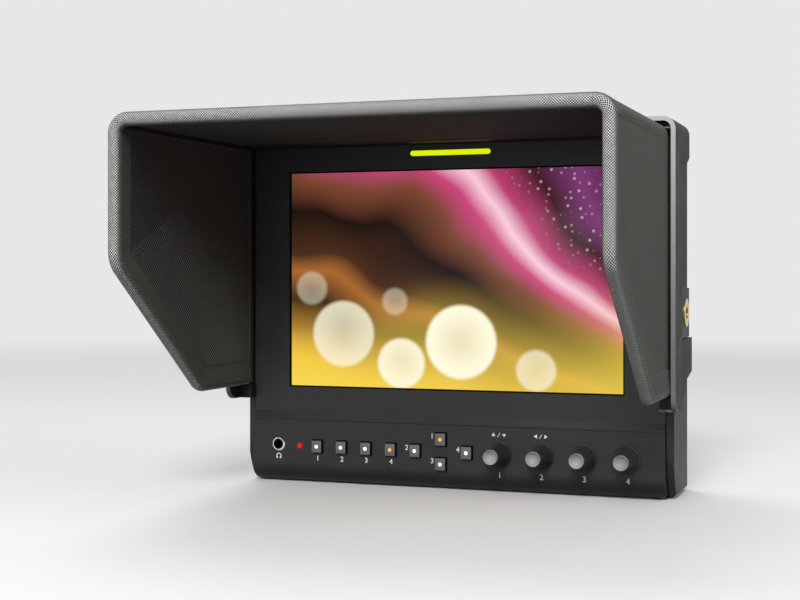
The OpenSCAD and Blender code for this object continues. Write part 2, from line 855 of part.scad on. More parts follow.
module source_button(i) {
  button(source_xs[i], row_z, i == 3 ? [1, 0.65, 0.1] : [0.95, 0.95, 0.95]);
}

module function_button(i) {
  button(pad[i][0], pad[i][1], i == 0 ? [1, 0.65, 0.1] : [0.95, 0.95, 0.95]);
}

// Tapering ribbed skirt with a smooth domed cap, pressed on the shaft
module knob(i) {
  neck = knob_len - 1.8;
  taper = atan2(knob_r - knob_cap_r - 0.25, neck - 2.2);
  rotate_about_y(knob_xs[i], row_z)
    translate([0, 0, -strip_y]) {
      color([0.1, 0.1, 0.1])
        difference() {
          union() {
            rotate_extrude()
              polygon([[0, 0.5], [knob_r, 0.5], [knob_r, 1.5], [knob_r - 0.35, 1.9],
                [knob_cap_r + 0.1, neck], [0, neck]]);
            for (k = [0:knob_ribs - 1])
              rotate([0, 0, k * 360 / knob_ribs])
                translate([knob_r - 0.5, 0, 1.7])
                  rotate([0, -taper, 0])
                    translate([-0.6, -0.25, 0])
                      cube([0.85, 0.5, neck - 3]);
          }
          translate([0, 0, -1])
            cylinder(r = shaft_r + seat, h = knob_len - 1.8);
          translate([0, 0, -1])
            cylinder(r = 3.1, h = 3);
        }
      color([0.45, 0.45, 0.46])
        rotate_extrude()
          polygon([[0, neck], [knob_cap_r, neck], [knob_cap_r, knob_len - 0.5],
            [knob_cap_r - 0.5, knob_len], [0, knob_len]]);
    }
}

module knob_shaft(i) {
  color([0.6, 0.6, 0.62])
    rod_y(knob_xs[i], row_z, shaft_r, strip_y - knob_len + 3, control_y - 1);
}

// ---- Hood bracket and its hinges ----

// The bracket's profile, seen from the front, shrunk by in
module bracket_profile(in) {
  half = bracket_w / 2 - in;
  round_rect(-half, half, -20, bracket_h - in, 1, bracket_r - in);
}

// The bracket seen from the side: roof, arm, notch round the side socket and foot
module arm_outline() {
  rear = side_socket_y - 1.4;
  foot = side_socket_y + 12.2;
  polygon([[-bracket_front, bracket_h], [side_socket_y + 5.7, bracket_h],
    [side_socket_y + 5.7, side_top - 6.5], [rear, side_top - 9.5],
    [rear, side_socket_z + notch_half], [notch_y, side_socket_z + notch_half],
    [notch_y, side_socket_z - notch_half], [foot, side_socket_z - notch_half],
    [foot, side_socket_z - 24.9], [side_socket_y, side_socket_z - 27.2],
    [side_socket_y - 3, side_socket_z - 30.4], [-1.5, ear_z],
    [-bracket_front + arm_r, ear_z], [-bracket_front, ear_z + arm_r]]);
  translate([-bracket_front + arm_r, ear_z + arm_r])
    circle(r = arm_r);
}

module hood_bracket() {
  pads = [[side_socket_y - 6, side_socket_z - 23, side_socket_y + 8, side_socket_z - 13],
    [side_socket_y - 8, side_socket_z + 13, side_socket_y - 2.4, side_top - 11]];
  color([0.16, 0.16, 0.165])
    difference() {
      union() {
        intersection() {
          difference() {
            along_y(-bracket_front, rear_d)
              bracket_profile(0);
            along_y(-bracket_front - 1, rear_d + 1)
              bracket_profile(bracket_t);
          }
          along_x(-bracket_w, bracket_w)
            arm_outline();
        }
        // spacer between the casing's top and the roof, and pads beside the casing
        block([-spacer_half, side_socket_y - 6, rear_h],
          [spacer_half, side_socket_y + 3, roof_in + eps]);
        for (p = pads, s = [-1, 1])
          scale([s, 1, 1])
            block([rear_w / 2, p[0], p[1]], [arm_in + eps, p[2], p[3]]);
        // upper pin blocks, lower ears and the post behind the right panel
        intersection() {
          along_y(-bracket_front, 0)
            bracket_profile(bracket_t / 2);
          union() {
            for (s = [-1, 1])
              scale([s, 1, 1]) {
                block([lid_half + 0.7, lid_axis + lid_barrel_r + fold_gap, side_top + fold_gap],
                  [bracket_w / 2, 0, bracket_h]);
                block([side_x - barrel_r, (s < 0 ? left_axis : right_axis) - barrel_r, ear_z],
                  [bracket_w / 2, -fold_gap, side_z - fold_gap - 0.05]);
              }
            block([side_x - panel_t / 2, right_axis + barrel_r + fold_gap, side_z - 2],
              [bracket_w / 2, -fold_gap, side_top + 1]);
          }
        }
      }
      hinge_holes(seat);
      for (p = bracket_screws_at)
        translate([p[0], p[1], 0]) {
          translate([0, 0, roof_in - 3])
            cylinder(r = screw_r + 0.15, h = 8);
          translate([0, 0, bracket_h - 1.2])
            cylinder(r1 = screw_r + 0.15, r2 = 2.45, h = 1.25);
        }
    }
}

// Room for the pins and the rod, gap larger all round
module hinge_holes(gap) {
  translate([-side_x, left_axis, ear_z - 1])
    cylinder(r = pin_r + gap, h = roof_in - 2 - ear_z);
  translate([side_x, right_axis, ear_z - 1])
    cylinder(r = pin_r + gap, h = roof_in - 2 - ear_z);
  rod_x(lid_axis, lid_mid, rod_r + gap, -arm_in - 0.3, arm_in + 0.3);
}

module side_hinge_pins() {
  color([0.7, 0.7, 0.72]) {
    translate([-side_x, left_axis, ear_z])
      cylinder(r = pin_r, h = roof_in - 3 - ear_z);
    translate([side_x, right_axis, ear_z])
      cylinder(r = pin_r, h = roof_in - 3 - ear_z);
  }
}

module lid_rod() {
  color([0.7, 0.7, 0.72])
    rod_x(lid_axis, lid_mid, rod_r, -arm_in - 0.2, arm_in + 0.2);
}

// Fixed bar that closes the gap between the lid and the casing
module hinge_rail() {
  color([0.12, 0.12, 0.125])
    difference() {
      block([-lid_half - 0.3, lid_axis + lid_barrel_r + fold_gap, lid_z - 0.1],
        [lid_half + 0.3, rim_y - 0.2, roof_in]);
      for (p = bracket_screws_at)
        if (p[1] < 0)
          translate([p[0], p[1], lid_z + 1])
            cylinder(r = screw_r + seat, h = roof_in);
    }
}

module bracket_screws() {
  color([0.2, 0.2, 0.21])
    for (p = bracket_screws_at)
      translate([p[0], p[1], 0])
        difference() {
          union() {
            translate([0, 0, p[1] > 0 ? rear_h - rear_wall : lid_z + 1.2])
              cylinder(r = screw_r, h = bracket_h - 1.2 - (p[1] > 0 ? rear_h - rear_wall : lid_z + 1.2));
            translate([0, 0, bracket_h - 1.2])
              cylinder(r1 = screw_r, r2 = 2.4, h = 1.2);
          }
          translate([0, 0, bracket_h - 0.7])
            cylinder(r = 0.8, h = 2, $fn = 6);
        }
}

// ---- Hood panels ----

// The sharp corners of the side panels' edge line, and the fillets on them
corner_a = [edge_y, slant_z];
corner_b = [-slant_y, side_z + bead_r];
slant = (corner_b - corner_a) / norm(corner_b - corner_a);
turn_a = acos(-slant[1]);
turn_b = acos(slant[0]);
tan_a = panel_r * tan(turn_a / 2);
tan_b = panel_r * tan(turn_b / 2);
a1 = corner_a + [0, tan_a];
a2 = corner_a + tan_a * slant;
b1 = corner_b - tan_b * slant;
b2 = corner_b + [tan_b, 0];
centre_a = a1 + [panel_r, 0];
centre_b = b2 + [0, panel_r];

// Flat outline of a side panel to its edge line, drawn in by in
module panel_outline(rear, top, in) {
  k = panel_r - in;
  na = [slant[1] * -1, slant[0]] * in;
  polygon([[rear, top], [edge_y + in, top], a1 + [in, 0], a2 + na, b1 + na, b2 + [0, in],
    [rear, corner_b[1] + in]]);
  for (c = [centre_a, centre_b])
    translate(c)
      circle(r = max(k, 1));
}

// Left side panel: a stiff board covered in cloth, with the lining set into its inner face
module side_panel(axis_y) {
  color([0.17, 0.17, 0.165])
    difference() {
      along_x(-side_x - panel_t / 2, -side_x + panel_t / 2)
        panel_outline(axis_y, side_top, 0);
      along_x(-side_x + panel_t / 2 - lining_d, -side_x + panel_t)
        intersection() {
          panel_outline(axis_y - 4, side_top - 3, border - bead_r);
          translate([-200, 0])
            square([200 + axis_y - 4, 200]);
        }
      translate([-side_x, axis_y, 0])
        cylinder(r = barrel_r + seat, h = 200);
    }
}

// Rolled edge round the panel, wrapped over the board
module side_bead(axis_y) {
  color([0.3, 0.3, 0.3])
    difference() {
      translate([-side_x, 0, 0])
        union() {
          bar(a1 - [0, tuck], [edge_y, lid_mid - corner_line]);
          bend(centre_a, 180, turn_a);
          bar(a2 - tuck * slant, b1 + tuck * slant);
          bend(centre_b, 180 + turn_a, turn_b);
          bar(b2 - [tuck, 0], [axis_y - barrel_r - fold_gap, corner_b[1]]);
        }
      along_x(-side_x - panel_t / 2, -side_x + panel_t / 2)
        panel_outline(axis_y, side_top, 0);
    }
}

// A quarter of a ring of the bead in the (y, z) plane
module bend(centre, start, turn) {
  translate([0, centre[0], centre[1]])
    rotate([90, 0, 90])
      rotate([0, 0, start])
        rotate_extrude(angle = turn)
          translate([panel_r, 0])
            circle(r = bead_r);
}

// A straight piece of the bead between two (y, z) points, a hair thinner than the bends
// that its ends are tucked into
module bar(p, q) {
  run = norm(q - p);
  translate([0, p[0], p[1]])
    rotate([-atan2(q[0] - p[0], q[1] - p[1]), 0, 0])
      cylinder(r = bead_r - 0.03, h = run);
}

module side_hinge(axis_y) {
  color([0.1, 0.1, 0.1])
    difference() {
      translate([-side_x, axis_y, side_z + 0.2])
        cylinder(r = barrel_r, h = side_top - side_z - 0.2);
      translate([-side_x, axis_y, 0])
        cylinder(r = pin_r + fit, h = 200);
    }
}

// Soft corner between a side panel and the lid: cloth strip and the bend of the bead
module corner() {
  r = 5;
  cx = -side_x - panel_t / 2 + r;
  cz = lid_z + panel_t - r;
  color([0.22, 0.22, 0.22])
    difference() {
      union() {
        along_y(edge_y, -bracket_front + 0.8)
          difference() {
            intersection() {
              translate([cx, cz])
                circle(r = r);
              translate([-side_x - panel_t, side_top + 0.01])
                square([side_x + panel_t - lid_half - fold_gap, 20]);
            }
            translate([cx, cz])
              circle(r = r - 2.2);
          }
        translate([-side_x + corner_line, edge_y, lid_mid - corner_line])
          rotate([90, 0, 0])
            rotate([0, 0, 90])
              rotate_extrude(angle = 90)
                translate([corner_line, 0])
                  circle(r = bead_r);
      }
      block([-lid_half - fold_gap, edge_y - fold_gap, lid_z - fold_gap],
        [0, 0, lid_z + panel_t + fold_gap]);
      along_x(-side_x - panel_t / 2, -side_x + panel_t / 2)
        panel_outline(0, side_top, 0);
    }
}

module lid_panel() {
  color([0.17, 0.17, 0.165])
    difference() {
      block([-lid_half, edge_y, lid_z], [lid_half, lid_axis, lid_z + panel_t]);
      rod_x(lid_axis, lid_mid, lid_barrel_r + seat, -lid_half - 1, lid_half + 1);
    }
}

module lid_bead() {
  half = side_x - corner_line - fold_gap;
  color([0.3, 0.3, 0.3])
    difference() {
      rod_x(edge_y, lid_mid, bead_r, -half, half);
      block([-lid_half, edge_y, lid_z], [lid_half, 0, lid_z + panel_t]);
    }
}

module lid_hinge() {
  color([0.1, 0.1, 0.1])
    difference() {
      rod_x(lid_axis, lid_mid, lid_barrel_r, -lid_half, lid_half);
      rod_x(lid_axis, lid_mid, rod_r + fit, -lid_half - 1, lid_half + 1);
    }
}

module left_panel() { side_panel(left_axis); }
module left_bead() { side_bead(left_axis); }
module left_hinge() { side_hinge(left_axis); }
module left_corner() { corner(); }
module right_panel() { mirror([1, 0, 0]) side_panel(right_axis); }
module right_bead() { mirror([1, 0, 0]) side_bead(right_axis); }
module right_hinge() { mirror([1, 0, 0]) side_hinge(right_axis); }
module right_corner() { mirror([1, 0, 0]) corner(); }

place() front_shell();
place() rear_shell();
place() screen_window();
place() lcd_panel();
place() backlight_unit();
place() panel_chassis();
place() panel_ribbon();
place() main_board();
place() board_parts();
place() control_board();
place() button_switches();
place() encoder_bodies();
place() jack_body();
place() jack_ring();
place() power_lamp();
place() tally_lens();
place() tally_board();
place() hood_bracket();
place() bracket_screws();
place() hinge_rail();
place() side_hinge_pins();
place() lid_rod();
place() side_inserts();
place() base_insert();
place() plate_inserts();
place() speaker();
place() case_screws();
place() coax_shells();
place() coax_cores();
place() hdmi_socket();
place() dc_socket();
place() switch_housing();
place() power_rocker();
place() lid_panel();
place() lid_bead();
place() lid_hinge();
place() left_panel();
place() left_bead();
place() left_hinge();
place() left_corner();
place() right_panel();
place() right_bead();
place() right_hinge();
place() right_corner();
place() source_button(0);  // source_button_1
place() source_button(1);  // source_button_2
place() source_button(2);  // source_button_3
place() source_button(3);  // source_button_4
place() function_button(0);  // function_button_1
place() function_button(1);  // function_button_2
place() function_button(2);  // function_button_3
place() function_button(3);  // function_button_4
place() knob(0);  // knob_1
place() knob(1);  // knob_2
place() knob(2);  // knob_3
place() knob(3);  // knob_4
place() knob_shaft(0);  // knob_shaft_1
place() knob_shaft(1);  // knob_shaft_2
place() knob_shaft(2);  // knob_shaft_3
place() knob_shaft(3);  // knob_shaft_4
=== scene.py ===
# %% [markdown]
# # A camera field monitor with a folding sun hood
# The CAD model already has every solid at its true size. Blender adds what the eye reads:
# cloth that rolls round the hood's edge, ribs on the knobs, a lit picture, printed figures
# and a finish for every surface. The frame is loaded first.

# %% Load the frame
import bpy, bmesh, math
from mathutils import Matrix, Vector


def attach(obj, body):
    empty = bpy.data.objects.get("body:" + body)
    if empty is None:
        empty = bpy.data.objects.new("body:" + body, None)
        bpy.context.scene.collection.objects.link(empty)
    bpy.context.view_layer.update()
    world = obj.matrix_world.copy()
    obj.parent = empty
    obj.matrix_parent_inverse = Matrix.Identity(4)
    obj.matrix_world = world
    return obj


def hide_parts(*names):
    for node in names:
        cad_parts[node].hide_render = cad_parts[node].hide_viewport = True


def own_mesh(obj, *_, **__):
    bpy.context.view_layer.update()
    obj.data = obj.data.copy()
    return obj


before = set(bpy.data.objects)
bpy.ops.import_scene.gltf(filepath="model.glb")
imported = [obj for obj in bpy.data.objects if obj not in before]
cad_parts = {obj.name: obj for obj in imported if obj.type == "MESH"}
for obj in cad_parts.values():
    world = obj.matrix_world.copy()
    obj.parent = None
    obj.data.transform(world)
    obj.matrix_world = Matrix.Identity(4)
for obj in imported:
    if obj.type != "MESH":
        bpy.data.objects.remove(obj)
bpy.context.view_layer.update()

# %% [markdown]
# ## Camera
# The camera's place was worked out from straight edges of the casing. It stands level at
# screen height, to the right of the object, and looks 20 degrees to the left. The small
# downward shift frames the object without tilting the upright edges.

# %% Camera
camera = bpy.data.objects.new("camera", bpy.data.cameras.new("camera"))
bpy.context.scene.collection.objects.link(camera)
camera.location = (0.1945, -0.6128, 0.0925)
camera.rotation_euler = (math.radians(90), 0, math.radians(19.98))
camera.data.lens = 65.96
camera.data.sensor_width = 36
camera.data.shift_y = -0.0327
bpy.context.scene.camera = camera
print("camera at", list(camera.location))

# %% [markdown]
# ## Shader maths as Python
# A material is easier to read as an expression than as a wiring plan. `Wire` holds one
# socket, and Python's operators add the Math nodes. `Finish.node` makes any other node.

# %% Shader helper
class Wire:
    def __init__(self, finish, socket):
        self.finish, self.socket = finish, socket

    def math(self, operation, *values):
        return self.finish.node("ShaderNodeMath", {"operation": operation}, dict(enumerate(values)))

    def __add__(self, other):
        return self.math("ADD", self, other)

    def __sub__(self, other):
        return self.math("SUBTRACT", self, other)

    def __rsub__(self, other):
        return self.math("SUBTRACT", other, self)

    def __mul__(self, other):
        return self.math("MULTIPLY", self, other)

    def __gt__(self, other):
        return self.math("GREATER_THAN", self, other)

    def __lt__(self, other):
        return self.math("LESS_THAN", self, other)

    def cos(self):
        return self.math("COSINE", self)

    def abs(self):
        return self.math("ABSOLUTE", self)

    def sqrt(self):
        return self.math("SQRT", self)

    def max(self, other):
        return self.math("MAXIMUM", self, other)

    def ramp(self, low, high, start=0.0, end=1.0):
        """Goes smoothly from start at low to end at high."""
        settings = {"interpolation_type": "SMOOTHSTEP"}
        return self.finish.node("ShaderNodeMapRange", settings,
                                {0: self, 1: low, 2: high, 3: start, 4: end})


class Finish:
    """One material, with its Principled shader ready to be fed."""

    def __init__(self, name, **constants):
        self.material = bpy.data.materials.new(name)
        self.material.use_nodes = True
        self.tree = self.material.node_tree
        self.shader = self.tree.nodes["Principled BSDF"]
        for socket, value in constants.items():
            self.shader.inputs[socket.replace("_", " ")].default_value = value

    def node(self, kind, settings=None, inputs=None, out=0):
        made = self.tree.nodes.new(kind)
        for key, value in (settings or {}).items():
            if key == "stops":
                ramp = made.color_ramp
                while len(ramp.elements) < len(value):
                    ramp.elements.new(1.0)
                for element, (place, colour) in zip(ramp.elements, value):
                    element.position, element.color = place, (*colour, 1)
            else:
                setattr(made, key, value)
        for key, value in (inputs or {}).items():
            if isinstance(value, Wire):
                self.tree.links.new(value.socket, made.inputs[key])
            else:
                made.inputs[key].default_value = value
        return Wire(self, made.outputs[out])

    def feed(self, **wires):
        for socket, wire in wires.items():
            self.tree.links.new(wire.socket, self.shader.inputs[socket.replace("_", " ")])
        return self

    def place(self):
        """Object coordinates: the row frame, in metres, on every piece."""
        return self.node("ShaderNodeTexCoord", out="Object")

    def axes(self, vector):
        return [self.node("ShaderNodeSeparateXYZ", None, {0: vector}, out) for out in range(3)]

    def uv(self):
        return self.node("ShaderNodeTexCoord", out="UV")

    def noise(self, vector, scale, detail=2.0, rough=0.5):
        inputs = {"Vector": vector, "Scale": scale, "Detail": detail, "Roughness": rough}
        return self.node("ShaderNodeTexNoise", None, inputs)

    def mix(self, factor, a, b):
        """Blends two colours, each a wire or three numbers."""
        a, b = [v if isinstance(v, Wire) else (*v, 1) for v in (a, b)]
        return self.node("ShaderNodeMix", {"data_type": "RGBA"}, {0: factor, 6: a, 7: b}, 2)

    def bump(self, height, depth, strength=1.0):
        inputs = {"Height": height, "Distance": depth, "Strength": strength}
        return self.node("ShaderNodeBump", None, inputs)


print("shader helper ready")

# %% [markdown]
# ## Moulded and painted finishes
# The casing is a fine-grained charcoal moulding. Two noises at different scales give it the
# grain that breaks up the highlight, and a slow one varies the gloss as handling does.

# %% Casing plastic
def moulded(name, colour, grain=2600, depth=0.00004, rough=0.46, gloss=0.25, foot=1.0):
    """foot paints shade: it darkens the lowest 11 mm towards near-black, where the moulding curves under.
    """
    made = Finish(name, Specular_IOR_Level=gloss)
    place = made.place()
    fine = made.noise(place, grain, 3.0, 0.6)
    slow = made.noise(place, 45, 3.0, 0.5)
    tint = made.mix(slow.ramp(0.3, 0.7), [c * 0.88 for c in colour], [c * 1.12 for c in colour])
    grained = made.mix(fine.ramp(0.35, 0.75) * 0.35, tint, [c * 1.5 for c in colour])
    # painted shade at the foot: the colour falls to near-black over the lowest 11 mm
    if foot < 1:
        grained = made.mix(made.axes(place)[2].ramp(0.0, 0.011, foot, 1.0), (0.002, 0.002, 0.002), grained)
    made.feed(Base_Color=grained, Roughness=slow.ramp(0.25, 0.75, rough - 0.05, rough + 0.07),
              Normal=made.bump(fine, depth))
    return made


# the front shell's moulding gets the painted shade at its foot
casing = moulded("casing moulding", (0.0185, 0.0185, 0.0195), foot=0.25)
casing_back = moulded("rear moulding", (0.018, 0.018, 0.019), grain=1700, depth=0.00006, rough=0.52)
black_plastic = moulded("black moulding", (0.008, 0.008, 0.009), rough=0.4)
# key sides: black plastic darkened to near-black as painted shade of the well round each key
key_sides_with_well_shade = moulded("key sides", (0.003, 0.003, 0.003), rough=0.7)
key_grey = moulded("key faces", (0.12, 0.12, 0.118), grain=3600, depth=0.00002, rough=0.5)
rubber = moulded("knob grip", (0.045, 0.045, 0.0455), grain=4200, depth=0.00001, rough=0.32, gloss=0.4)
# the ribs' grooves: painted shade, near-black where the grip's rubber lies in shadow
groove_shade = moulded("knob grooves", (0.003, 0.003, 0.003), grain=4200, depth=0.00001, rough=0.6)
knob_grey = moulded("knob cap", (0.28, 0.28, 0.28), grain=5200, depth=0.000004, rough=0.42, gloss=0.3)
rocker_red = moulded("rocker", (0.2, 0.014, 0.01), rough=0.3)
insulator = moulded("insulator", (0.8, 0.78, 0.7), rough=0.45)
print("moulded finishes ready")

# %% [markdown]
# The bracket is sheet metal with a powder coat. Its laser-cut front edge is bare of the dark
# coat and catches the light, and a painted highlight lightens that bare edge towards the top.
# The edge is found from Object coordinates: the front plane, and the round lower front corner
# of each arm.

# %% Powder-coated sheet
# in metres in the frame: just behind the front plane, and just inside the arms' round corner
ARM_FRONT, ARM_CORNER_Y, ARM_CORNER_Z, ARM_CORNER_R = -0.03092, -0.025, 0.044, 0.0059


def powder_coat():
    made = Finish("powder coat", Specular_IOR_Level=0.12)
    place = made.place()
    _, y, z = made.axes(place)
    orange_peel = made.node("ShaderNodeTexVoronoi", {"feature": "SMOOTH_F1"},
                            {"Vector": place, "Scale": 1500.0})
    slow = made.noise(place, 60, 3.0)
    back, up = y - ARM_CORNER_Y, z - ARM_CORNER_Z
    corner = ((back * back + up * up).sqrt() > ARM_CORNER_R) * (y < ARM_CORNER_Y) * (z < ARM_CORNER_Z)
    edge = (y < ARM_FRONT).max(corner)
    coat = made.mix(slow.ramp(0.3, 0.7), (0.014, 0.014, 0.0145), (0.018, 0.018, 0.0185))
    # the bare edge's tone: a random mottle, plus a painted highlight that grows towards the top
    scale = made.noise(place, 900, 2.0) * 0.3 + z.ramp(0.05, 0.15, 0.0, 0.7)
    bare = made.mix(scale, (0.14, 0.14, 0.14), (0.5, 0.5, 0.5))
    made.feed(Base_Color=made.mix(edge, coat, bare), Roughness=slow.ramp(0.2, 0.8, 0.5, 0.62),
              Normal=made.bump(orange_peel, 0.00003, 0.6))
    return made


bracket_coat = powder_coat()
print("powder coat ready")

# %% [markdown]
# ## Metals
# Turned brass and nickel show fine rings, rolled steel shows streaks. Both are a stretched
# noise that moves the roughness and a little of the height.

# %% Metals
def metal(name, colour, rough, stretch=(1, 1, 40)):
    made = Finish(name, Metallic=1.0)
    streaks = made.node("ShaderNodeVectorMath", {"operation": "MULTIPLY"}, {0: made.place(), 1: stretch})
    grain = made.noise(streaks, 220, 4.0, 0.6)
    made.feed(Base_Color=made.mix(grain.ramp(0.3, 0.7), [c * 0.85 for c in colour], colour),
              Roughness=grain.ramp(0.25, 0.75, rough - 0.06, rough + 0.08),
              Normal=made.bump(grain, 0.00002, 0.5))
    return made


steel = metal("bright steel", (0.55, 0.55, 0.56), 0.34)
black_steel = metal("blackened steel", (0.06, 0.06, 0.062), 0.4)
nickel = metal("satin nickel", (0.62, 0.61, 0.59), 0.27, (1, 40, 1))
brass = metal("turned brass", (0.72, 0.5, 0.17), 0.28, (30, 4, 4))


def socket_ring(x0, z0, inner):
    """Chrome outside the radius inner; inside it, the countersink is painted dark as painted shade."""
    made = Finish("socket ring", Metallic=1.0, Roughness=0.16)
    x, _, z = made.axes(made.place())
    across, up = x - x0, z - z0
    # painted shade: the chrome turns near-black inside the radius inner
    off = (across * across + up * up).sqrt().ramp(inner - 0.0001, inner + 0.0001)
    made.feed(Base_Color=made.mix(off, (0.02, 0.02, 0.02), (0.86, 0.86, 0.87)))
    return made


jack_chrome = socket_ring(-0.0797, 0.0168, 0.0024)
print("metals ready")

# %% [markdown]
# ## Lit parts
# A lamp glows through its lens, so emission carries the colour and a clear coat the gloss.
# The lens is a little brighter along its middle, where the lamps stand behind it.

# %% Lamps and lenses
def glowing(name, colour, power, spread=0.15):
    made = Finish(name, Roughness=0.2, Coat_Weight=0.1, Specular_IOR_Level=0.2, Emission_Strength=power)
    hot = made.noise(made.place(), 320, 1.0).ramp(0.2, 0.8, 1 - spread, 1.0)
    made.shader.inputs["Base Color"].default_value = (*[c * 0.4 for c in colour], 1)
    made.feed(Emission_Color=made.mix(hot, [c * 0.7 for c in colour], colour))
    return made


tally_glow = glowing("tally glow", (0.72, 0.86, 0.0), 1.0)
red_glow = glowing("lamp glow", (0.6, 0.006, 0.004), 0.85)
white_glow = glowing("white key light", (1, 1, 1), 1.1)
amber_glow = glowing("amber key light", (0.85, 0.45, 0.06), 0.9)
print("lamps ready")

# %% [markdown]
# ## Boards and films inside the casing
# They are hidden by the casing, but a cut-away or an opened model should still show a
# circuit board as one: solder mask over a grid of tracks.

# %% Inner finishes
def circuit_board():
    made = Finish("solder mask", Roughness=0.35, Coat_Weight=0.3)
    upright = {"Vector": made.place(), "Rotation": (math.radians(90), 0, 0)}
    tracks = made.node("ShaderNodeTexBrick", {"offset": 0.5}, {
        "Vector": made.node("ShaderNodeMapping", None, upright), "Scale": 260.0, "Mortar Size": 0.12,
        "Color1": (0, 0, 0, 1), "Color2": (0.2, 0.2, 0.2, 1), "Mortar": (1, 1, 1, 1)})
    made.feed(Base_Color=made.mix(tracks, (0.01, 0.09, 0.035), (0.03, 0.2, 0.08)),
              Normal=made.bump(tracks, 0.00003))
    return made


board = circuit_board()
film = moulded("ribbon film", (0.45, 0.2, 0.05), rough=0.3)
reflector = moulded("reflector", (0.8, 0.8, 0.78), rough=0.5)
print("inner finishes ready")

# %% [markdown]
# ## Cloth
# The hood is board covered in cloth. Two threads cross in a plain weave, so the pattern is
# the product of two waves: bright where one thread lies on top, dark in the gaps. The rolled
# edge has coarse, light, shiny thread, with painted shade that darkens it round the roll's
# sides. The faces have a fine dull one.

# %% Cloth finishes
def plain_weave(made, u, v, pitch):
    """1 on top of a thread, 0 in the gaps between threads."""
    turn = 2 * math.pi / pitch
    return (u * turn).cos() * (v * turn).cos()


def binding_cloth():
    made = Finish("binding cloth", Specular_IOR_Level=0.4)
    u, v, _ = made.axes(made.uv())
    weave = plain_weave(made, u, v, 1.0)
    # painted shade: the light threads darken from the roll's front line round to its sides
    yarn_and_side_shade = weave.ramp(-0.12, 0.42) * v.abs().ramp(1.5, 3.3, 1.0, 0.22)
    fuzz = made.noise(made.place(), 900, 2.0).ramp(0.3, 0.75)
    dark = made.mix(fuzz, (0.008, 0.008, 0.008), (0.022, 0.022, 0.022))
    light = made.mix(fuzz, (0.56, 0.56, 0.55), (0.78, 0.78, 0.77))
    made.feed(Base_Color=made.mix(yarn_and_side_shade, dark, light), Roughness=yarn_and_side_shade * -0.35 + 0.75,
              Normal=made.bump(weave, 0.00009, 0.7))
    return made


def face_cloth(name, low, high, pitch, depth, across):
    """Fine weave in the plane of a panel; across picks its two directions."""
    made = Finish(name, Specular_IOR_Level=0.08, Sheen_Weight=0.03, Sheen_Roughness=0.5)
    place = made.place()
    axes = made.axes(place)
    u, v = axes[across[0]] * 1000, axes[across[1]] * 1000
    weave = plain_weave(made, u, v, pitch)
    slow = made.noise(place, 70, 3.0).ramp(0.25, 0.75)
    tint = made.mix(slow, [c * 0.93 for c in low], [c * 1.07 for c in low])
    made.feed(Base_Color=made.mix(weave.ramp(-0.4, 0.7), tint, high), Roughness=slow * 0.1 + 0.72,
              Normal=made.bump(weave, depth, 0.8))
    return made


binding = binding_cloth()
side_cloth = face_cloth("side cloth", (0.066, 0.066, 0.059), (0.084, 0.084, 0.076), 0.55, 0.00003, (1, 2))
lid_cloth = face_cloth("lid cloth", (0.066, 0.066, 0.059), (0.084, 0.084, 0.076), 0.55, 0.00003, (0, 1))
lid_inside = face_cloth("lid inside", (0.03, 0.03, 0.028), (0.042, 0.042, 0.039), 0.55, 0.00003, (0, 1))
lining_cloth = face_cloth("lining cloth", (0.011, 0.011, 0.0105), (0.14, 0.14, 0.133), 1.7, 0.0001, (1, 2))
thread = moulded("stitching thread", (0.006, 0.006, 0.006), grain=5000, depth=0.00002, rough=0.7)
print("cloth ready")

# %% [markdown]
# ## From a bmesh to a piece
# Every new piece is modelled in millimetres from the bezel's front plane, as the CAD source
# is. One function moves it to the frame's metres, gives it its finishes, sets it riding on
# its CAD body, and says which CAD nodes it stands for.

# %% Piece helper
TO_FRAME = Matrix.Translation((0, -0.015, 0)) @ Matrix.Scale(0.001, 4)


def piece(name, bm, finishes, body, stands_for=(), sharp=35, merge=0.002):
    if merge:
        bmesh.ops.remove_doubles(bm, verts=bm.verts, dist=merge)
        bmesh.ops.recalc_face_normals(bm, faces=bm.faces)
    bmesh.ops.transform(bm, matrix=TO_FRAME, verts=bm.verts)
    mesh = bpy.data.meshes.new(name)
    bm.to_mesh(mesh)
    bm.free()
    mesh.polygons.foreach_set("use_smooth", [True] * len(mesh.polygons))
    mesh.set_sharp_from_angle(angle=math.radians(sharp))
    for finish in finishes:
        mesh.materials.append(finish.material)
    made = bpy.data.objects.new(name, mesh)
    bpy.context.scene.collection.objects.link(made)
    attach(made, body)
    if stands_for:
        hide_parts(*stands_for)
    print(f"{name}: {len(mesh.polygons)} faces, rides on {body}")
    return made


def edges_of(geometry):
    return [g for g in geometry if isinstance(g, bmesh.types.BMEdge)]


def verts_of(geometry):
    return [g for g in geometry if isinstance(g, bmesh.types.BMVert)]


# %% [markdown]
# ## Hood measures
# These follow the CAD source: the panels' mid planes, the line that the rolled edge is
# centred on, and the two corners of the slanting edge with the fillets on them.

# %% Hood measures
HALF_BOARD, BEAD_R, GAP = 1.75, 2.7, 0.3
SIDE_X, SIDE_TOP, LID_MID = 93.95, 147.4, 150.45
EDGE_Y, LID_HALF, LID_AXIS = -117.3, 90.9, -14.0
HINGE_Y = {"left": -3.0, "right": -8.5}
CORNER_A, CORNER_B = Vector((EDGE_Y, 97.0)), Vector((-50.5, 45.9))
CORNER_R, BEND_R = 9.0, 5.3
slant = (CORNER_B - CORNER_A).normalized()
turn_a, turn_b = math.acos(-slant.y), math.acos(slant.x)
cut_a, cut_b = CORNER_R * math.tan(turn_a / 2), CORNER_R * math.tan(turn_b / 2)
print("slanting edge", round((CORNER_B - CORNER_A).length, 1), "mm")
print("fillets cut", round(cut_a, 2), "and", round(cut_b, 2), "mm off its ends")

# %% [markdown]
# ## Hood panels as lofts
# A side panel is a stiff board with a lining let into it. It is built as a stack of outlines
# joined by bridged loops. An outline starts as a few corner points, and a vertex bevel rounds
# the two corners of the slant.

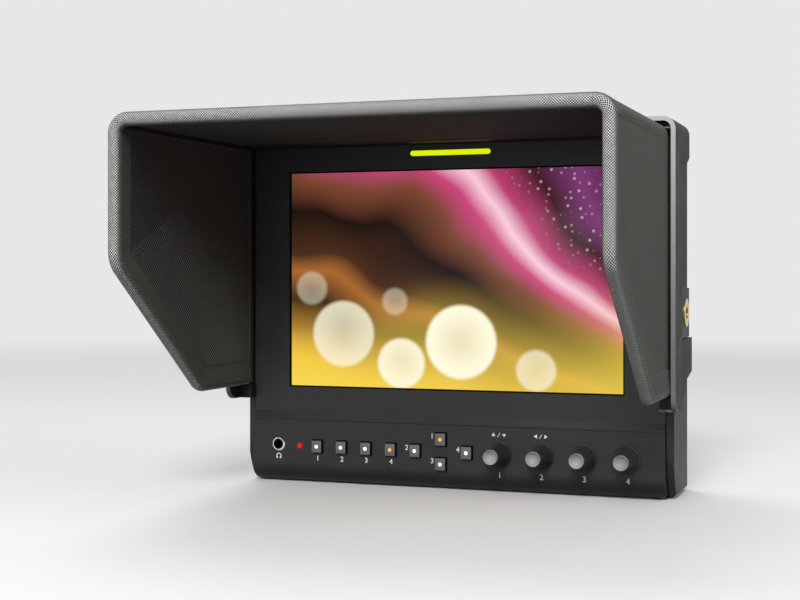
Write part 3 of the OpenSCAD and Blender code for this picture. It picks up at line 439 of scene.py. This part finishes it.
# %% Loft helper
def outline(bm, corners, at, segments=8):
    """A closed loop of edges through corners (u, v, cut); a cut rounds that corner."""
    before = set(bm.edges)
    verts = [bm.verts.new(at(u, v)) for u, v, cut in corners]
    bm.faces.new(verts)
    for vert, (u, v, cut) in zip(verts, corners):
        if cut:
            bmesh.ops.bevel(bm, geom=[vert], offset=cut, offset_type="OFFSET", segments=segments,
                            profile=0.5, affect="VERTICES", material=-1)
    loop = [e for e in bm.edges if e not in before]
    faces = {f for e in loop for f in e.link_faces}
    bmesh.ops.delete(bm, geom=list(faces), context="FACES_ONLY")
    return loop


def loft(bm, loops, marks=None):
    """Bridges each loop to the next and closes both ends; marks number the bands' materials."""
    marks = marks or [0] * (len(loops) + 1)
    for number, (one, two) in enumerate(zip(loops, loops[1:])):
        for face in bmesh.ops.bridge_loops(bm, edges=one + two)["faces"]:
            face.material_index = marks[number + 1]
    for loop, mark in ((loops[0], marks[0]), (loops[-1], marks[-1])):
        for face in bmesh.ops.contextual_create(bm, geom=loop)["faces"]:
            face.material_index = mark


def side_corners(inset, rear, top):
    """A side panel's outline, moved in by inset from the line of its three rolled edges."""
    nudge = Vector((-slant.y, slant.x)) * inset
    a = CORNER_A + nudge
    a = a + slant * ((EDGE_Y + inset - a.x) / slant.x)
    b = CORNER_B + nudge
    low = CORNER_B.y + inset
    b = b + slant * ((low - b.y) / slant.y)
    shrink = max(CORNER_R - inset, 1.5) / CORNER_R
    slanting = [(*a, cut_a * shrink), (*b, cut_b * shrink)]
    return [(rear, top, 0), (EDGE_Y + inset, top, 0), *slanting, (rear, low, 0)]


print("loft helper ready")

# %% Boards with their linings
LINING_IN = 8.2


def side_board(side):
    sign = -1 if side == "left" else 1
    rear = HINGE_Y[side] - 2.0
    bm = bmesh.new()
    # (inset from the roll's line, rear, top, distance from the mid plane), inside first
    bands = [(LINING_IN + 0.9, rear - 0.7, SIDE_TOP - 0.6, -1.42),
             (LINING_IN + 0.5, rear - 0.5, SIDE_TOP - 0.4, -1.72),
             (LINING_IN, rear - 0.3, SIDE_TOP - 0.2, -HALF_BOARD),
             (0.6, rear, SIDE_TOP, -HALF_BOARD),
             (0.6, rear, SIDE_TOP, HALF_BOARD)]
    loops = [outline(bm, side_corners(inset, back, top), lambda y, z, x=sign * (SIDE_X + out): (x, y, z))
             for inset, back, top, out in bands]
    loft(bm, loops, [1, 1] + [0] * 4)
    piece(f"{side}_board", bm, [side_cloth, lining_cloth], f"hood_{side}", [f"{side}_panel"],
          sharp=40)


for side in ("left", "right"):
    side_board(side)

# %% [markdown]
# ## The rolled edge and the cloth that flows from it
# The cloth wraps a cord and lies down on the board at both sides. One closed profile holds
# the roll and both wings of cloth. It is extruded along the straights and spun round the
# fillets. The roll's UV map is unrolled in millimetres, along the roll and round it, so that
# the weave keeps its scale round every corner.

# %% Sleeve helper
# (inset from the roll's line, distance from the mid plane) of the cloth beside the roll
WING = [(2.4, 2.52), (4.4, 2.34), (6.4, 2.16), (8.2, 2.02), (8.6, 1.78)]
INNER_WING = [(2.4, -2.4), (4.4, -2.12), (6.2, -1.88), (7.6, -1.78)]


def sleeve_profile():
    """Points (inset, out) round the roll, from the outer wing's tip to the inner wing's."""
    roll = [(-BEAD_R * math.sin(a), BEAD_R * math.cos(a)) for a in
            (math.radians(-12 + 204 * i / 18) for i in range(19))]
    return WING[::-1] + roll + INNER_WING


def start_loop(bm, points):
    verts = [bm.verts.new(p) for p in points]
    return [bm.edges.new((a, b)) for a, b in zip(verts, verts[1:] + verts[:1])]


def start_ring(bm, centre, normal, radius=BEAD_R, sides=20):
    turned = Vector((0, 0, 1)).rotation_difference(Vector(normal)).to_matrix().to_4x4()
    made = bmesh.ops.create_circle(bm, radius=radius, segments=sides,
                                   matrix=Matrix.Translation(centre) @ turned)
    return list({e for v in made["verts"] for e in v.link_edges})


def go(bm, ring, move):
    made = bmesh.ops.extrude_edge_only(bm, edges=ring)["geom"]
    bmesh.ops.translate(bm, vec=Vector(move), verts=verts_of(made))
    new = set(verts_of(made))
    return [e for e in edges_of(made) if e.verts[0] in new and e.verts[1] in new]


def turn(bm, ring, centre, axis, angle, steps):
    made = bmesh.ops.spin(bm, geom=ring, cent=centre, axis=axis, angle=angle, steps=steps)
    return edges_of(made["geom_last"])


def unroll(bm, track):
    """UVs in mm. track(point) gives the run along the roll, its centre line, its front and its side."""
    layer = bm.loops.layers.uv.new("unrolled")
    half = math.pi * BEAD_R
    for face in bm.faces:
        found, far = [], 0
        for corner in face.loops:
            run, centre, front, sideways = track(corner.vert.co)
            offset = corner.vert.co - centre
            found.append([run, math.atan2(offset.dot(sideways), offset.dot(front)) * BEAD_R])
            far = max(far, offset.length)
        face.material_index = 0 if far < BEAD_R + 0.05 else 1
        top = max(f[1] for f in found)
        for corner, f in zip(face.loops, found):
            if top - f[1] > half:
                f[1] += 2 * half
            corner[layer].uv = f


print("sleeve profile:", len(sleeve_profile()), "points")

# %% Side sleeves
def side_sleeve(side):
    sign = -1 if side == "left" else 1
    x = sign * SIDE_X
    to3 = lambda p: Vector((x, p[0], p[1]))
    a1, a2 = CORNER_A + Vector((0, cut_a)), CORNER_A + slant * cut_a
    b1, b2 = CORNER_B - slant * cut_b, CORNER_B + Vector((cut_b, 0))
    ca, cb = a1 + Vector((CORNER_R, 0)), b2 + Vector((0, CORNER_R))
    top = Vector((EDGE_Y, LID_MID - BEND_R))
    end = Vector((HINGE_Y[side] - 2.4 - GAP, CORNER_B.y))
    bm = bmesh.new()
    ring = start_loop(bm, [(x + sign * out, EDGE_Y + inset, top.y) for inset, out in sleeve_profile()])
    bmesh.ops.contextual_create(bm, geom=ring)
    ring = go(bm, ring, to3(a1) - to3(top))
    ring = turn(bm, ring, to3(ca), (1, 0, 0), turn_a, 8)
    ring = go(bm, ring, to3(b1) - to3(a2))
    ring = turn(bm, ring, to3(cb), (1, 0, 0), turn_b, 8)
    ring = go(bm, ring, to3(end) - to3(b2))
    bmesh.ops.contextual_create(bm, geom=ring)
    first = (top - a1).length
    second = first + CORNER_R * turn_a
    third = second + (b1 - a2).length
    fourth = third + CORNER_R * turn_b

    def track(point):
        p = Vector((point.y, point.z))
        choices = []
        for p0, p1, run in ((top, a1, 0), (a2, b1, second), (b2, end, fourth)):
            d = (p1 - p0).normalized()
            along = max(0.0, min((p1 - p0).length, (p - p0).dot(d)))
            centre = p0 + d * along
            choices.append(((p - centre).length, run + along, centre, Vector((d.y, -d.x))))
        for centre, start, run, angle in ((ca, a1, first, turn_a), (cb, b1, third, turn_b)):
            swept = max(0.0, min(angle, -(start - centre).angle_signed(p - centre)))
            out = (start - centre).normalized()
            out.rotate(Matrix.Rotation(swept, 2))
            on = centre + out * CORNER_R
            choices.append(((p - on).length, run + swept * CORNER_R, on, out))
        _, run, centre, out = min(choices, key=lambda c: c[0])
        return run, to3(centre), Vector((0, out.x, out.y)), Vector((1, 0, 0))

    unroll(bm, track)
    return piece(f"{side}_sleeve", bm, [binding, side_cloth], f"hood_{side}", [f"{side}_bead"],
                 sharp=60)


for side in ("left", "right"):
    side_sleeve(side)

# %% [markdown]
# The lid is a flat covered board, and its sleeve is one straight run of the same profile.

# %% Lid
def slab(bm, low, high, radius, segments=2):
    """A block between two corners, with soft edges."""
    made = bmesh.ops.create_cube(bm, size=1)["verts"]
    low, high = Vector(low), Vector(high)
    bmesh.ops.scale(bm, vec=high - low, verts=made)
    bmesh.ops.translate(bm, vec=(low + high) / 2, verts=made)
    if radius:
        edges = list({e for v in made for e in v.link_edges})
        bmesh.ops.bevel(bm, geom=edges, offset=radius, offset_type="OFFSET", segments=segments, profile=0.5,
                        affect="EDGES", material=-1)


def lid():
    bm = bmesh.new()
    low, high = LID_MID - HALF_BOARD, LID_MID + HALF_BOARD
    slab(bm, (-LID_HALF, EDGE_Y + 0.6, low), (LID_HALF, LID_AXIS - 1.9, high), 0.5)
    for face in bm.faces:
        face.material_index = 1 if face.calc_center_median().z < low + 0.15 else 0
    piece("lid_board", bm, [lid_cloth, lid_inside], "hood_lid", ["lid_panel"], sharp=50)
    bm = bmesh.new()
    half = SIDE_X - BEND_R - 0.08
    ring = start_loop(bm, [(-half, EDGE_Y + inset, LID_MID + out) for inset, out in sleeve_profile()])
    bmesh.ops.contextual_create(bm, geom=ring)
    ring = go(bm, ring, (2 * half, 0, 0))
    bmesh.ops.contextual_create(bm, geom=ring)
    start, front, up = half + math.pi / 2 * BEND_R, Vector((0, -1, 0)), Vector((0, 0, 1))
    unroll(bm, lambda p: (p.x + start, Vector((p.x, EDGE_Y, LID_MID)), front, up))
    for face in bm.faces:
        if face.material_index and face.calc_center_median().z < LID_MID:
            face.material_index = 2
    piece("lid_sleeve", bm, [binding, lid_cloth, lid_inside], "hood_lid", ["lid_bead"],
          sharp=60)


lid()

# %% [markdown]
# ## Soft corners
# Cloth bridges the corner between lid and side, and the roll bends through it. The cloth is a
# loft of bent strips that swells towards the roll as the panels' wings do. It rides on the
# side panel.

# %% Corners
def corner_strip(out, thick=0.5):
    """One cross-section: up the side, round the bend, over the lid, and back inside.

    The bend opens from 5 mm on the flat board to 8 mm at the roll.
    """
    radius = 5 + 3 * (out - HALF_BOARD) / 0.95
    face_x, face_z = SIDE_X + out + 0.04, LID_MID + out + 0.04

    def run(inward):
        mid = (face_x - radius, face_z - radius)
        bend = [(mid[0] + (radius - inward) * math.cos(a), mid[1] + (radius - inward) * math.sin(a))
                for a in (math.radians(90 * i / 10) for i in range(11))]
        return [(face_x - inward, SIDE_TOP - 1.9)] + bend + [(LID_HALF - 6, face_z - inward)]

    return [(u, v, 0) for u, v in run(0) + run(thick)[::-1]]


def corner(side):
    sign = -1 if side == "left" else 1
    bm = bmesh.new()
    stations = [(EDGE_Y + 0.3, 2.64)] + [(EDGE_Y + inset, out) for inset, out in WING] + [(-16, 1.76)]
    loft(bm, [outline(bm, corner_strip(out), lambda x, z, y=y: (x, y, z)) for y, out in stations])
    bmesh.ops.recalc_face_normals(bm, faces=bm.faces)
    for face in bm.faces:
        middle = face.calc_center_median()
        outward = Vector((middle.x - SIDE_X + 9, 0, middle.z - LID_MID + 9))
        face.material_index = 1 if face.normal.dot(outward) > 0 else 2
    bend = bmesh.new()
    ring = start_ring(bend, (SIDE_X, EDGE_Y, LID_MID - BEND_R), (0, 0, 1), sides=32)
    bmesh.ops.contextual_create(bend, geom=ring)
    middle = Vector((SIDE_X - BEND_R, EDGE_Y, LID_MID - BEND_R))
    ring = turn(bend, ring, middle, (0, -1, 0), math.pi / 2, 12)
    bmesh.ops.contextual_create(bend, geom=ring)

    def track(p):
        angle = max(0.0, min(math.pi / 2, math.atan2(p.z - middle.z, p.x - middle.x)))
        out = Vector((math.cos(angle), 0, math.sin(angle)))
        return -angle * BEND_R, middle + out * BEND_R, Vector((0, -1, 0)), out

    unroll(bend, track)
    for face in bend.faces:
        face.material_index = 0
    joined = bpy.data.meshes.new("bend")
    bend.to_mesh(joined)
    bend.free()
    bm.from_mesh(joined)
    bpy.data.meshes.remove(joined)
    if sign < 0:
        bmesh.ops.scale(bm, vec=(-1, 1, 1), verts=bm.verts)
    made = piece(f"{side}_corner_cloth", bm, [binding, side_cloth, lining_cloth], f"hood_{side}",
                 [f"{side}_corner"], sharp=60)
    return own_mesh(made, f"{side}_fold", axis=(-sign * 0.7071, 0, 0.7071),
                     anchor=(sign * (SIDE_X - 0.5) / 1000, 0, (SIDE_TOP - 2.5) / 1000), keep=0.1)


for side in ("left", "right"):
    corner(side)

# %% [markdown]
# ## Stitches
# A sunk line of black thread holds the lining. Each stitch is a small capsule, laid along the
# lining's edge at an even pitch.

# %% Stitches
STITCH = (0.2, 0.2, 0.62)  # half of its width, height and length


def stitches(name, body, points, pitch=1.9):
    bm = bmesh.new()
    for start, end in zip(points, points[1:]):
        start, end = Vector(start), Vector(end)
        count = int((end - start).length / pitch)
        aim = (end - start).to_track_quat("Z", "Y").to_matrix().to_4x4()
        for number in range(count):
            at = Matrix.Translation(start.lerp(end, (number + 0.5) / count))
            bmesh.ops.create_uvsphere(bm, u_segments=6, v_segments=5, radius=1,
                                      matrix=at @ aim @ Matrix.Diagonal((*STITCH, 1)))
    return piece(name, bm, [thread], body, merge=0)


for side in ("left", "right"):
    x = (SIDE_X - 1.72) * (-1 if side == "left" else 1)
    line = side_corners(LINING_IN - 0.3, HINGE_Y[side] - 5, SIDE_TOP - 4)[1:]
    stitches(f"{side}_stitches", f"hood_{side}", [(x, y, z) for y, z, _ in line])
stitches("lid_stitches", "hood_lid", [(x, EDGE_Y + 7.9, LID_MID - 1.76) for x in (-82, 82)])

# %% [markdown]
# ## The lit picture
# The cover glass is one thin slab. Its finish draws a generic abstract: broad warm beams that
# fan out, soft round lights along the foot, a band of sparkle in the corner, and a thin unlit
# line at the picture's edge.

# %% Cover glass with the picture
# in metres in the frame: the picture's middle, and how far it reaches to each side
PICTURE_Z, PICTURE_W, PICTURE_H = 0.09, 0.07535, 0.0478
PICTURE_ASPECT = 1.576
LIT_W, LIT_H = 0.0746, 0.0471  # beyond these lies the thin unlit line
# (place on the fan, colour), from the fan's lower edge to its upper one
BEAMS = [(0.0, (0.9, 0.7, 0.04)), (0.1, (0.85, 0.5, 0.03)), (0.19, (0.3, 0.11, 0.02)),
         (0.27, (0.03, 0.01, 0.004)), (0.35, (0.4, 0.14, 0.03)), (0.4, (0.07, 0.025, 0.01)),
         (0.5, (0.012, 0.005, 0.003)), (0.58, (0.2, 0.06, 0.03)), (0.64, (0.6, 0.06, 0.2)),
         (0.69, (0.95, 0.6, 0.72)), (0.74, (0.5, 0.05, 0.17)), (0.82, (0.05, 0.01, 0.016)),
         (0.9, (0.2, 0.04, 0.17)), (1.0, (0.03, 0.008, 0.02))]
# (across, up, radius, brightness) of each soft round light
ROUND_LIGHTS = [(-0.66, -0.5, 0.2, 0.7), (-0.3, -0.76, 0.15, 0.9), (0.06, -0.56, 0.22, 1.0),
                (0.5, -0.8, 0.12, 0.6), (-0.86, -0.08, 0.1, 0.3), (-0.34, -0.2, 0.08, 0.3)]


def picture():
    made = Finish("cover glass and picture", Roughness=0.25, Coat_Weight=0.03, Coat_Roughness=0.05,
                  Emission_Strength=1.0, Specular_IOR_Level=0.08)
    place = made.place()
    x, _, z = made.axes(place)
    u, v = x * (1 / PICTURE_W), (z - PICTURE_Z) * (1 / PICTURE_H)
    fan = v.math("ARCTAN2", v + 1.7, 2.1 - u)
    beam = fan + made.noise(place, 11, 2.0, 0.5) * 0.34 - 0.36
    warm = made.node("ShaderNodeValToRGB", {"stops": BEAMS}, {0: beam})
    foot = (v + made.noise(place, 17, 1.0) * 0.5).ramp(-0.95, 0.25, 0.85, 0.0)
    warm = made.mix(foot, warm, (0.92, 0.66, 0.07))
    glow = None
    for cx, cz, radius, level in ROUND_LIGHTS:
        across, up = (u - cx) * PICTURE_ASPECT, v - cz
        off = (across * across + up * up).sqrt()
        disc = off.ramp(radius * 1.5 + 0.025, radius * 1.5 - 0.025, 0.0, level)
        disc = disc * off.ramp(0.0, radius * 1.5, 0.72, 1.0)
        glow = disc if glow is None else glow.max(disc)
    drops = made.node("ShaderNodeTexVoronoi", None, {"Vector": place, "Scale": 330.0})
    sparkle = drops.ramp(0.3, 0.05) * (beam - 0.86).abs().ramp(0.12, 0.02) * 0.45
    lit = made.mix(glow.max(sparkle), warm, made.mix(sparkle, (1.0, 0.96, 0.72), (1.0, 0.78, 0.92)))
    inside = (x.abs() < LIT_W) * ((z - PICTURE_Z).abs() < LIT_H)
    made.feed(Base_Color=made.mix(inside, (0.004, 0.004, 0.005), (0.01, 0.01, 0.011)),
              Emission_Color=made.mix(inside, (0.0, 0.0, 0.0), lit))
    return made


bm = bmesh.new()
slab(bm, (-79.15, 1.0, 39.2), (79.15, 2.2, 140.8), 0.1)
piece("cover_glass", bm, [picture()], "monitor", ["screen_window"])

# %% [markdown]
# ## Keys
# Each key is a black block with a grey top plate and a round light in it; its sides are near-black
# as painted shade of the well round the key. Soft edges matter more than detail here: they draw
# the thin highlight that tells a key from a painted square.

# %% Keys
KEY_W, KEY_H, KEY_PROUD = 4.6, 5.3, 1.8
STRIP_Y, ROW_Z, JACK_X = -1.6, 16.3, -79.7
source_x = [-60.9 + 11.5 * i for i in range(4)]
knob_x = [21.9 + 18.2 * i for i in range(4)]
pad = [(-3.5, ROW_Z + 5.3), (-15.1, ROW_Z), (-3.5, ROW_Z - 5.3), (8.1, ROW_Z)]


def key(name, x, z, light, body):
    bm = bmesh.new()
    front = STRIP_Y - KEY_PROUD
    slab(bm, (x - KEY_W / 2, front, z - KEY_H / 2), (x + KEY_W / 2, 0.9, z + KEY_H / 2), 0.28, 3)
    for face in bm.faces:
        face.material_index = 0 if face.normal.y < -0.5 else 1
    flat = Matrix.Translation((x, front, z)) @ Matrix.Diagonal((1, 0.28, 1, 1))
    lens = bmesh.ops.create_uvsphere(bm, u_segments=20, v_segments=12, radius=0.8, matrix=flat)
    for face in {f for v in lens["verts"] for f in v.link_faces}:
        face.material_index = 2
    return piece(f"{name}_cap", bm, [key_grey, key_sides_with_well_shade, light], body, [name], merge=0)


for i in range(4):
    key(f"source_button_{i + 1}", source_x[i], ROW_Z, amber_glow if i == 3 else white_glow,
        f"source_key_{i + 1}")
    key(f"function_button_{i + 1}", *pad[i], amber_glow if i == 0 else white_glow,
        f"function_key_{i + 1}")

# %% [markdown]
# ## Knobs
# A knob is turned on a lathe in two parts: a tapering grip with fine ribs and a smooth
# dished cap with a thin rim. One ring of points is extruded up the profile, and every other
# pair of points steps in to make the ribs.

# %% Knobs
def lathe(bm, profile, sides):
    """Carries a ring up a profile of (radius, height) and closes both ends."""
    radius, height = profile[0]
    ring = start_ring(bm, (0, 0, height), (0, 0, 1), radius, sides)
    bmesh.ops.contextual_create(bm, geom=ring)
    rings = [ring]
    for (r0, h0), (r1, h1) in zip(profile, profile[1:]):
        ring = go(bm, ring, (0, 0, h1 - h0))
        bmesh.ops.scale(bm, vec=(r1 / r0, r1 / r0, 1), verts=list({v for e in ring for v in e.verts}))
        rings.append(ring)
    bmesh.ops.contextual_create(bm, geom=ring)
    bmesh.ops.recalc_face_normals(bm, faces=bm.faces)
    return rings


RIBS, GROOVE = 36, 0.92  # how many ribs, and the share of the radius left in the grooves
# (radius, height) above the strip, in mm: the skirt, the taper and the top's inner lip
GRIP = [(5.6, 0.4), (5.85, 0.6), (5.85, 0.9), (5.8, 1.1), (5.7, 1.5), (4.75, 5.6), (3.9, 9.2),
        (3.4, 11.2), (3.2, 11.35), (2.9, 10.7)]
RIBBED = slice(4, 8)  # the rings of the taper
# the cap's wall, its rim, and the dish that falls to the middle
CAP = [(3.0, 10.8), (3.1, 11.2), (3.1, 12.34), (3.05, 12.46), (2.97, 12.5), (2.9, 12.46),
       (2.8, 12.3), (2.4, 11.84), (2.0, 11.5), (1.5, 11.2), (1.0, 11.0), (0.5, 10.91), (0.1, 10.89)]


def knob(number, x):
    bm = bmesh.new()
    rings = lathe(bm, GRIP, 4 * RIBS)
    sunk = set()
    for ring in rings[RIBBED]:
        verts = sorted({v for e in ring for v in e.verts}, key=lambda v: math.atan2(v.co.y, v.co.x))
        for count, v in enumerate(verts):
            if count % 4 < 2:
                v.co.x, v.co.y = v.co.x * GROOVE, v.co.y * GROOVE
                sunk.add(v)
    grip_faces = set(bm.faces)
    lathe(bm, CAP, 64)
    # faces sunk in the ribs' grooves take the painted shade
    for face in bm.faces:
        face.material_index = 1 if face not in grip_faces else 2 if sunk.issuperset(face.verts) else 0
    forward = Matrix.Translation((x, STRIP_Y, ROW_Z)) @ Matrix.Rotation(math.radians(90), 4, "X")
    bmesh.ops.transform(bm, matrix=forward, verts=bm.verts)
    return piece(f"knob_{number}_grip", bm, [rubber, knob_grey, groove_shade], f"dial_{number}",
                 [f"knob_{number}"], sharp=30, merge=0)


for i in range(4):
    knob(i + 1, knob_x[i])

# %% [markdown]
# ## Printed marks
# Plain figures count the keys and knobs, arrows say what two knobs do in a menu, and a pair
# of headphones marks the socket. Each is a film of white ink, hardly thicker than paint.

# %% Marks
ink = moulded("white ink", (0.62, 0.62, 0.62), grain=3000, depth=0.00001, rough=0.55)
INK_Y, INK_T = STRIP_Y - 0.03, 0.03
SYMBOL_Y = INK_Y - 0.01
UPRIGHT = Matrix.Rotation(math.radians(90), 4, "X")
ARROWS_Z, PHONES_Z = 24.4, 11.5


def figure(bm, words, x, z, height):
    curve = bpy.data.curves.new("figure", "FONT")
    curve.body, curve.size, curve.extrude, curve.offset = words, height * 1.4, 0.015, 0.05
    curve.align_x, curve.align_y = "CENTER", "CENTER"
    maker = bpy.data.objects.new("figure", curve)
    bpy.context.scene.collection.objects.link(maker)
    mesh = bpy.data.meshes.new_from_object(maker.evaluated_get(bpy.context.evaluated_depsgraph_get()))
    mesh.transform(Matrix.Translation((x, INK_Y, z)) @ UPRIGHT)
    bm.from_mesh(mesh)
    bpy.data.objects.remove(maker)
    bpy.data.curves.remove(curve)
    bpy.data.meshes.remove(mesh)


def stand(x, y, z, turned=0):
    """Stands a shape drawn in the plane up at a point of the strip, turned about its own axis."""
    return Matrix.Translation((x, y, z)) @ UPRIGHT @ Matrix.Rotation(math.radians(turned), 4, "Z")


def chip(bm, radius, sides, place):
    """A thin prism of ink: three sides make an arrow's head, many make a disc."""
    bmesh.ops.create_cone(bm, cap_ends=True, radius1=radius, radius2=radius, segments=sides,
                          depth=INK_T, matrix=place)


bm = bmesh.new()
for i in range(4):
    figure(bm, str(i + 1), source_x[i], 11.0, 2.2)
    figure(bm, str(i + 1), pad[i][0] - 4.1, pad[i][1] + 1.1, 2.2)
    figure(bm, str(i + 1), knob_x[i] + 0.6, 7.3, 2.4)
# above two knobs: a pair of arrow heads with a slanting bar between them
for x, apart, turns in ((22.15, 2.35, (0, 180)), (40.35, 2.05, (90, -90))):
    chip(bm, 1.0, 3, stand(x - apart, SYMBOL_Y, ARROWS_Z, turns[0]))
    chip(bm, 1.0, 3, stand(x + apart, SYMBOL_Y, ARROWS_Z, turns[1]))
    bar = bmesh.ops.create_cube(bm, size=2)["verts"]
    thin = Matrix.Diagonal((0.13, 1.05, INK_T / 2, 1))
    bmesh.ops.transform(bm, verts=bar, matrix=stand(x, SYMBOL_Y, ARROWS_Z, -28) @ thin)
# headphones: a band open at the bottom, with a pad at each end
low = math.radians(-50)
ring = start_loop(bm, [(JACK_X + r * math.cos(low), INK_Y + deep, PHONES_Z + r * math.sin(low))
                       for r, deep in ((0.8, 0), (1.25, 0), (1.25, 0.02), (0.8, 0.02))])
bmesh.ops.contextual_create(bm, geom=ring)
ring = turn(bm, ring, (JACK_X, INK_Y, PHONES_Z), (0, -1, 0), math.radians(280), 20)
bmesh.ops.contextual_create(bm, geom=ring)
for side in (-1, 1):
    chip(bm, 0.45, 12, stand(JACK_X + side * 0.8, INK_Y, PHONES_Z - 0.78))
piece("printed_marks", bm, [ink], "monitor", merge=0.0005)

# %% [markdown]
# ## Every other solid
# The remaining CAD nodes have their final shape already. Each gets the finish that the real
# part has.

# %% Dress the CAD nodes
dressing = {
    casing: ["front_shell"], casing_back: ["rear_shell"], bracket_coat: ["hood_bracket"],
    black_plastic: ["hinge_rail", "speaker", "dc_socket", "switch_housing", "jack_body", "board_parts",
                    "button_switches", "lid_hinge", "left_hinge", "right_hinge", "left_corner",
                    "right_corner"],
    steel: ["panel_chassis", "encoder_bodies", "knob_shaft_1", "knob_shaft_2", "knob_shaft_3",
            "knob_shaft_4"],
    black_steel: ["bracket_screws", "case_screws", "side_hinge_pins", "lid_rod"],
    jack_chrome: ["jack_ring"], nickel: ["coax_shells", "hdmi_socket"],
    brass: ["side_inserts", "base_insert", "plate_inserts"], insulator: ["coax_cores"],
    board: ["main_board", "control_board", "tally_board"], film: ["panel_ribbon"],
    reflector: ["backlight_unit"], rocker_red: ["power_rocker"], tally_glow: ["tally_lens"],
    red_glow: ["power_lamp"],
}
finish_of = {node: finish for finish, names in dressing.items() for node in names}
for name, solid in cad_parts.items():
    solid.data.materials.clear()
    solid.data.materials.append(finish_of.get(name, black_plastic).material)
print("dressed", len(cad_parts), "CAD nodes")

# %% [markdown]
# ## Floor and light
# The object stands on a plain pale floor that fades into a pale surround. One large soft lamp
# in front gives the rolled edge its bright face, and a weak low one reaches under the hood. A
# third fills the side, and the last comes from above and behind to lift the outline.

# %% Floor
PALE = (0.8, 0.8, 0.8)  # what the camera, gloss and glass see
QUIET = (0.08, 0.08, 0.08)  # what the light sees, so that the floor throws little of it back
floor_finish = Finish("floor", Roughness=0.6, Specular_IOR_Level=0.2)
place = floor_finish.place()
x, y, _ = floor_finish.axes(place)
away = (x * x + y * y).sqrt()
lit = floor_finish.node("ShaderNodeEmission", None, {"Color": (*PALE, 1), "Strength": 1.0})
ray = floor_finish.node("ShaderNodeLightPath").socket.node.outputs
seen = Wire(floor_finish, ray["Is Camera Ray"]).max(Wire(floor_finish, ray["Is Glossy Ray"])).max(
    Wire(floor_finish, ray["Is Transmission Ray"]))
pale = floor_finish.mix(floor_finish.noise(place, 30, 2.0), (0.78, 0.78, 0.78), PALE)
floor_finish.feed(Base_Color=floor_finish.mix(seen, QUIET, pale))
near = Wire(floor_finish, floor_finish.shader.outputs[0])
blend = floor_finish.node("ShaderNodeMixShader", None, {0: away.ramp(0.5, 1.6), 1: near, 2: lit})
output = floor_finish.tree.nodes["Material Output"]
floor_finish.tree.links.new(blend.socket, output.inputs["Surface"])
bm = bmesh.new()
bmesh.ops.create_circle(bm, cap_ends=True, radius=6, segments=64)
mesh = bpy.data.meshes.new("floor")
bm.to_mesh(mesh)
bm.free()
mesh.materials.append(floor_finish.material)
floor = bpy.data.objects.new("floor", mesh)
floor.location.z = -0.0003
bpy.context.scene.collection.objects.link(floor)
print("floor ready")

# %% Surround and lamps
SURROUND_LIGHT = 0.3
world = bpy.data.worlds.new("surround")
world.use_nodes = True
bpy.context.scene.world = world
nodes, links = world.node_tree.nodes, world.node_tree.links
path, shown = nodes.new("ShaderNodeLightPath"), nodes.new("ShaderNodeBackground")
soft, either = nodes["Background"], nodes.new("ShaderNodeMixShader")
for background, colour, strength in ((soft, (1, 1, 1), SURROUND_LIGHT), (shown, PALE, 1.0)):
    background.inputs["Color"].default_value = (*colour, 1)
    background.inputs["Strength"].default_value = strength
first = path.outputs["Is Camera Ray"]
for other in ("Is Glossy Ray", "Is Transmission Ray"):
    widest = nodes.new("ShaderNodeMath")
    widest.operation = "MAXIMUM"
    links.new(first, widest.inputs[0])
    links.new(path.outputs[other], widest.inputs[1])
    first = widest.outputs[0]
links.new(first, either.inputs[0])
links.new(soft.outputs[0], either.inputs[1])
links.new(shown.outputs[0], either.inputs[2])
links.new(either.outputs[0], nodes["World Output"].inputs["Surface"])


def lamp(name, at, towards, size, power):
    made = bpy.data.objects.new(name, bpy.data.lights.new(name, "AREA"))
    made.data.shape, made.data.size, made.data.energy = "DISK", size, power
    made.location = at
    made.rotation_euler = (Vector(towards) - Vector(at)).to_track_quat("-Z", "Y").to_euler()
    bpy.context.scene.collection.objects.link(made)
    print(name, power, "W from", at)


lamp("front_lamp", (0.22, -1.5, 1.1), (0, -0.05, 0.09), 0.6, 27)
lamp("low_lamp", (-0.1, -1.5, 0.3), (0, 0, 0.12), 0.5, 3)
lamp("side_lamp", (1.4, -0.3, 0.7), (0, 0, 0.09), 0.8, 7)
lamp("top_lamp", (-0.5, 0.5, 1.4), (0, 0, 0.1), 0.9, 7)

# %% [markdown]
# ## Finish
# The view transform is set to Standard, so that a colour renders as it was written.

# %% Finish
bpy.context.scene.view_settings.view_transform = "Standard"
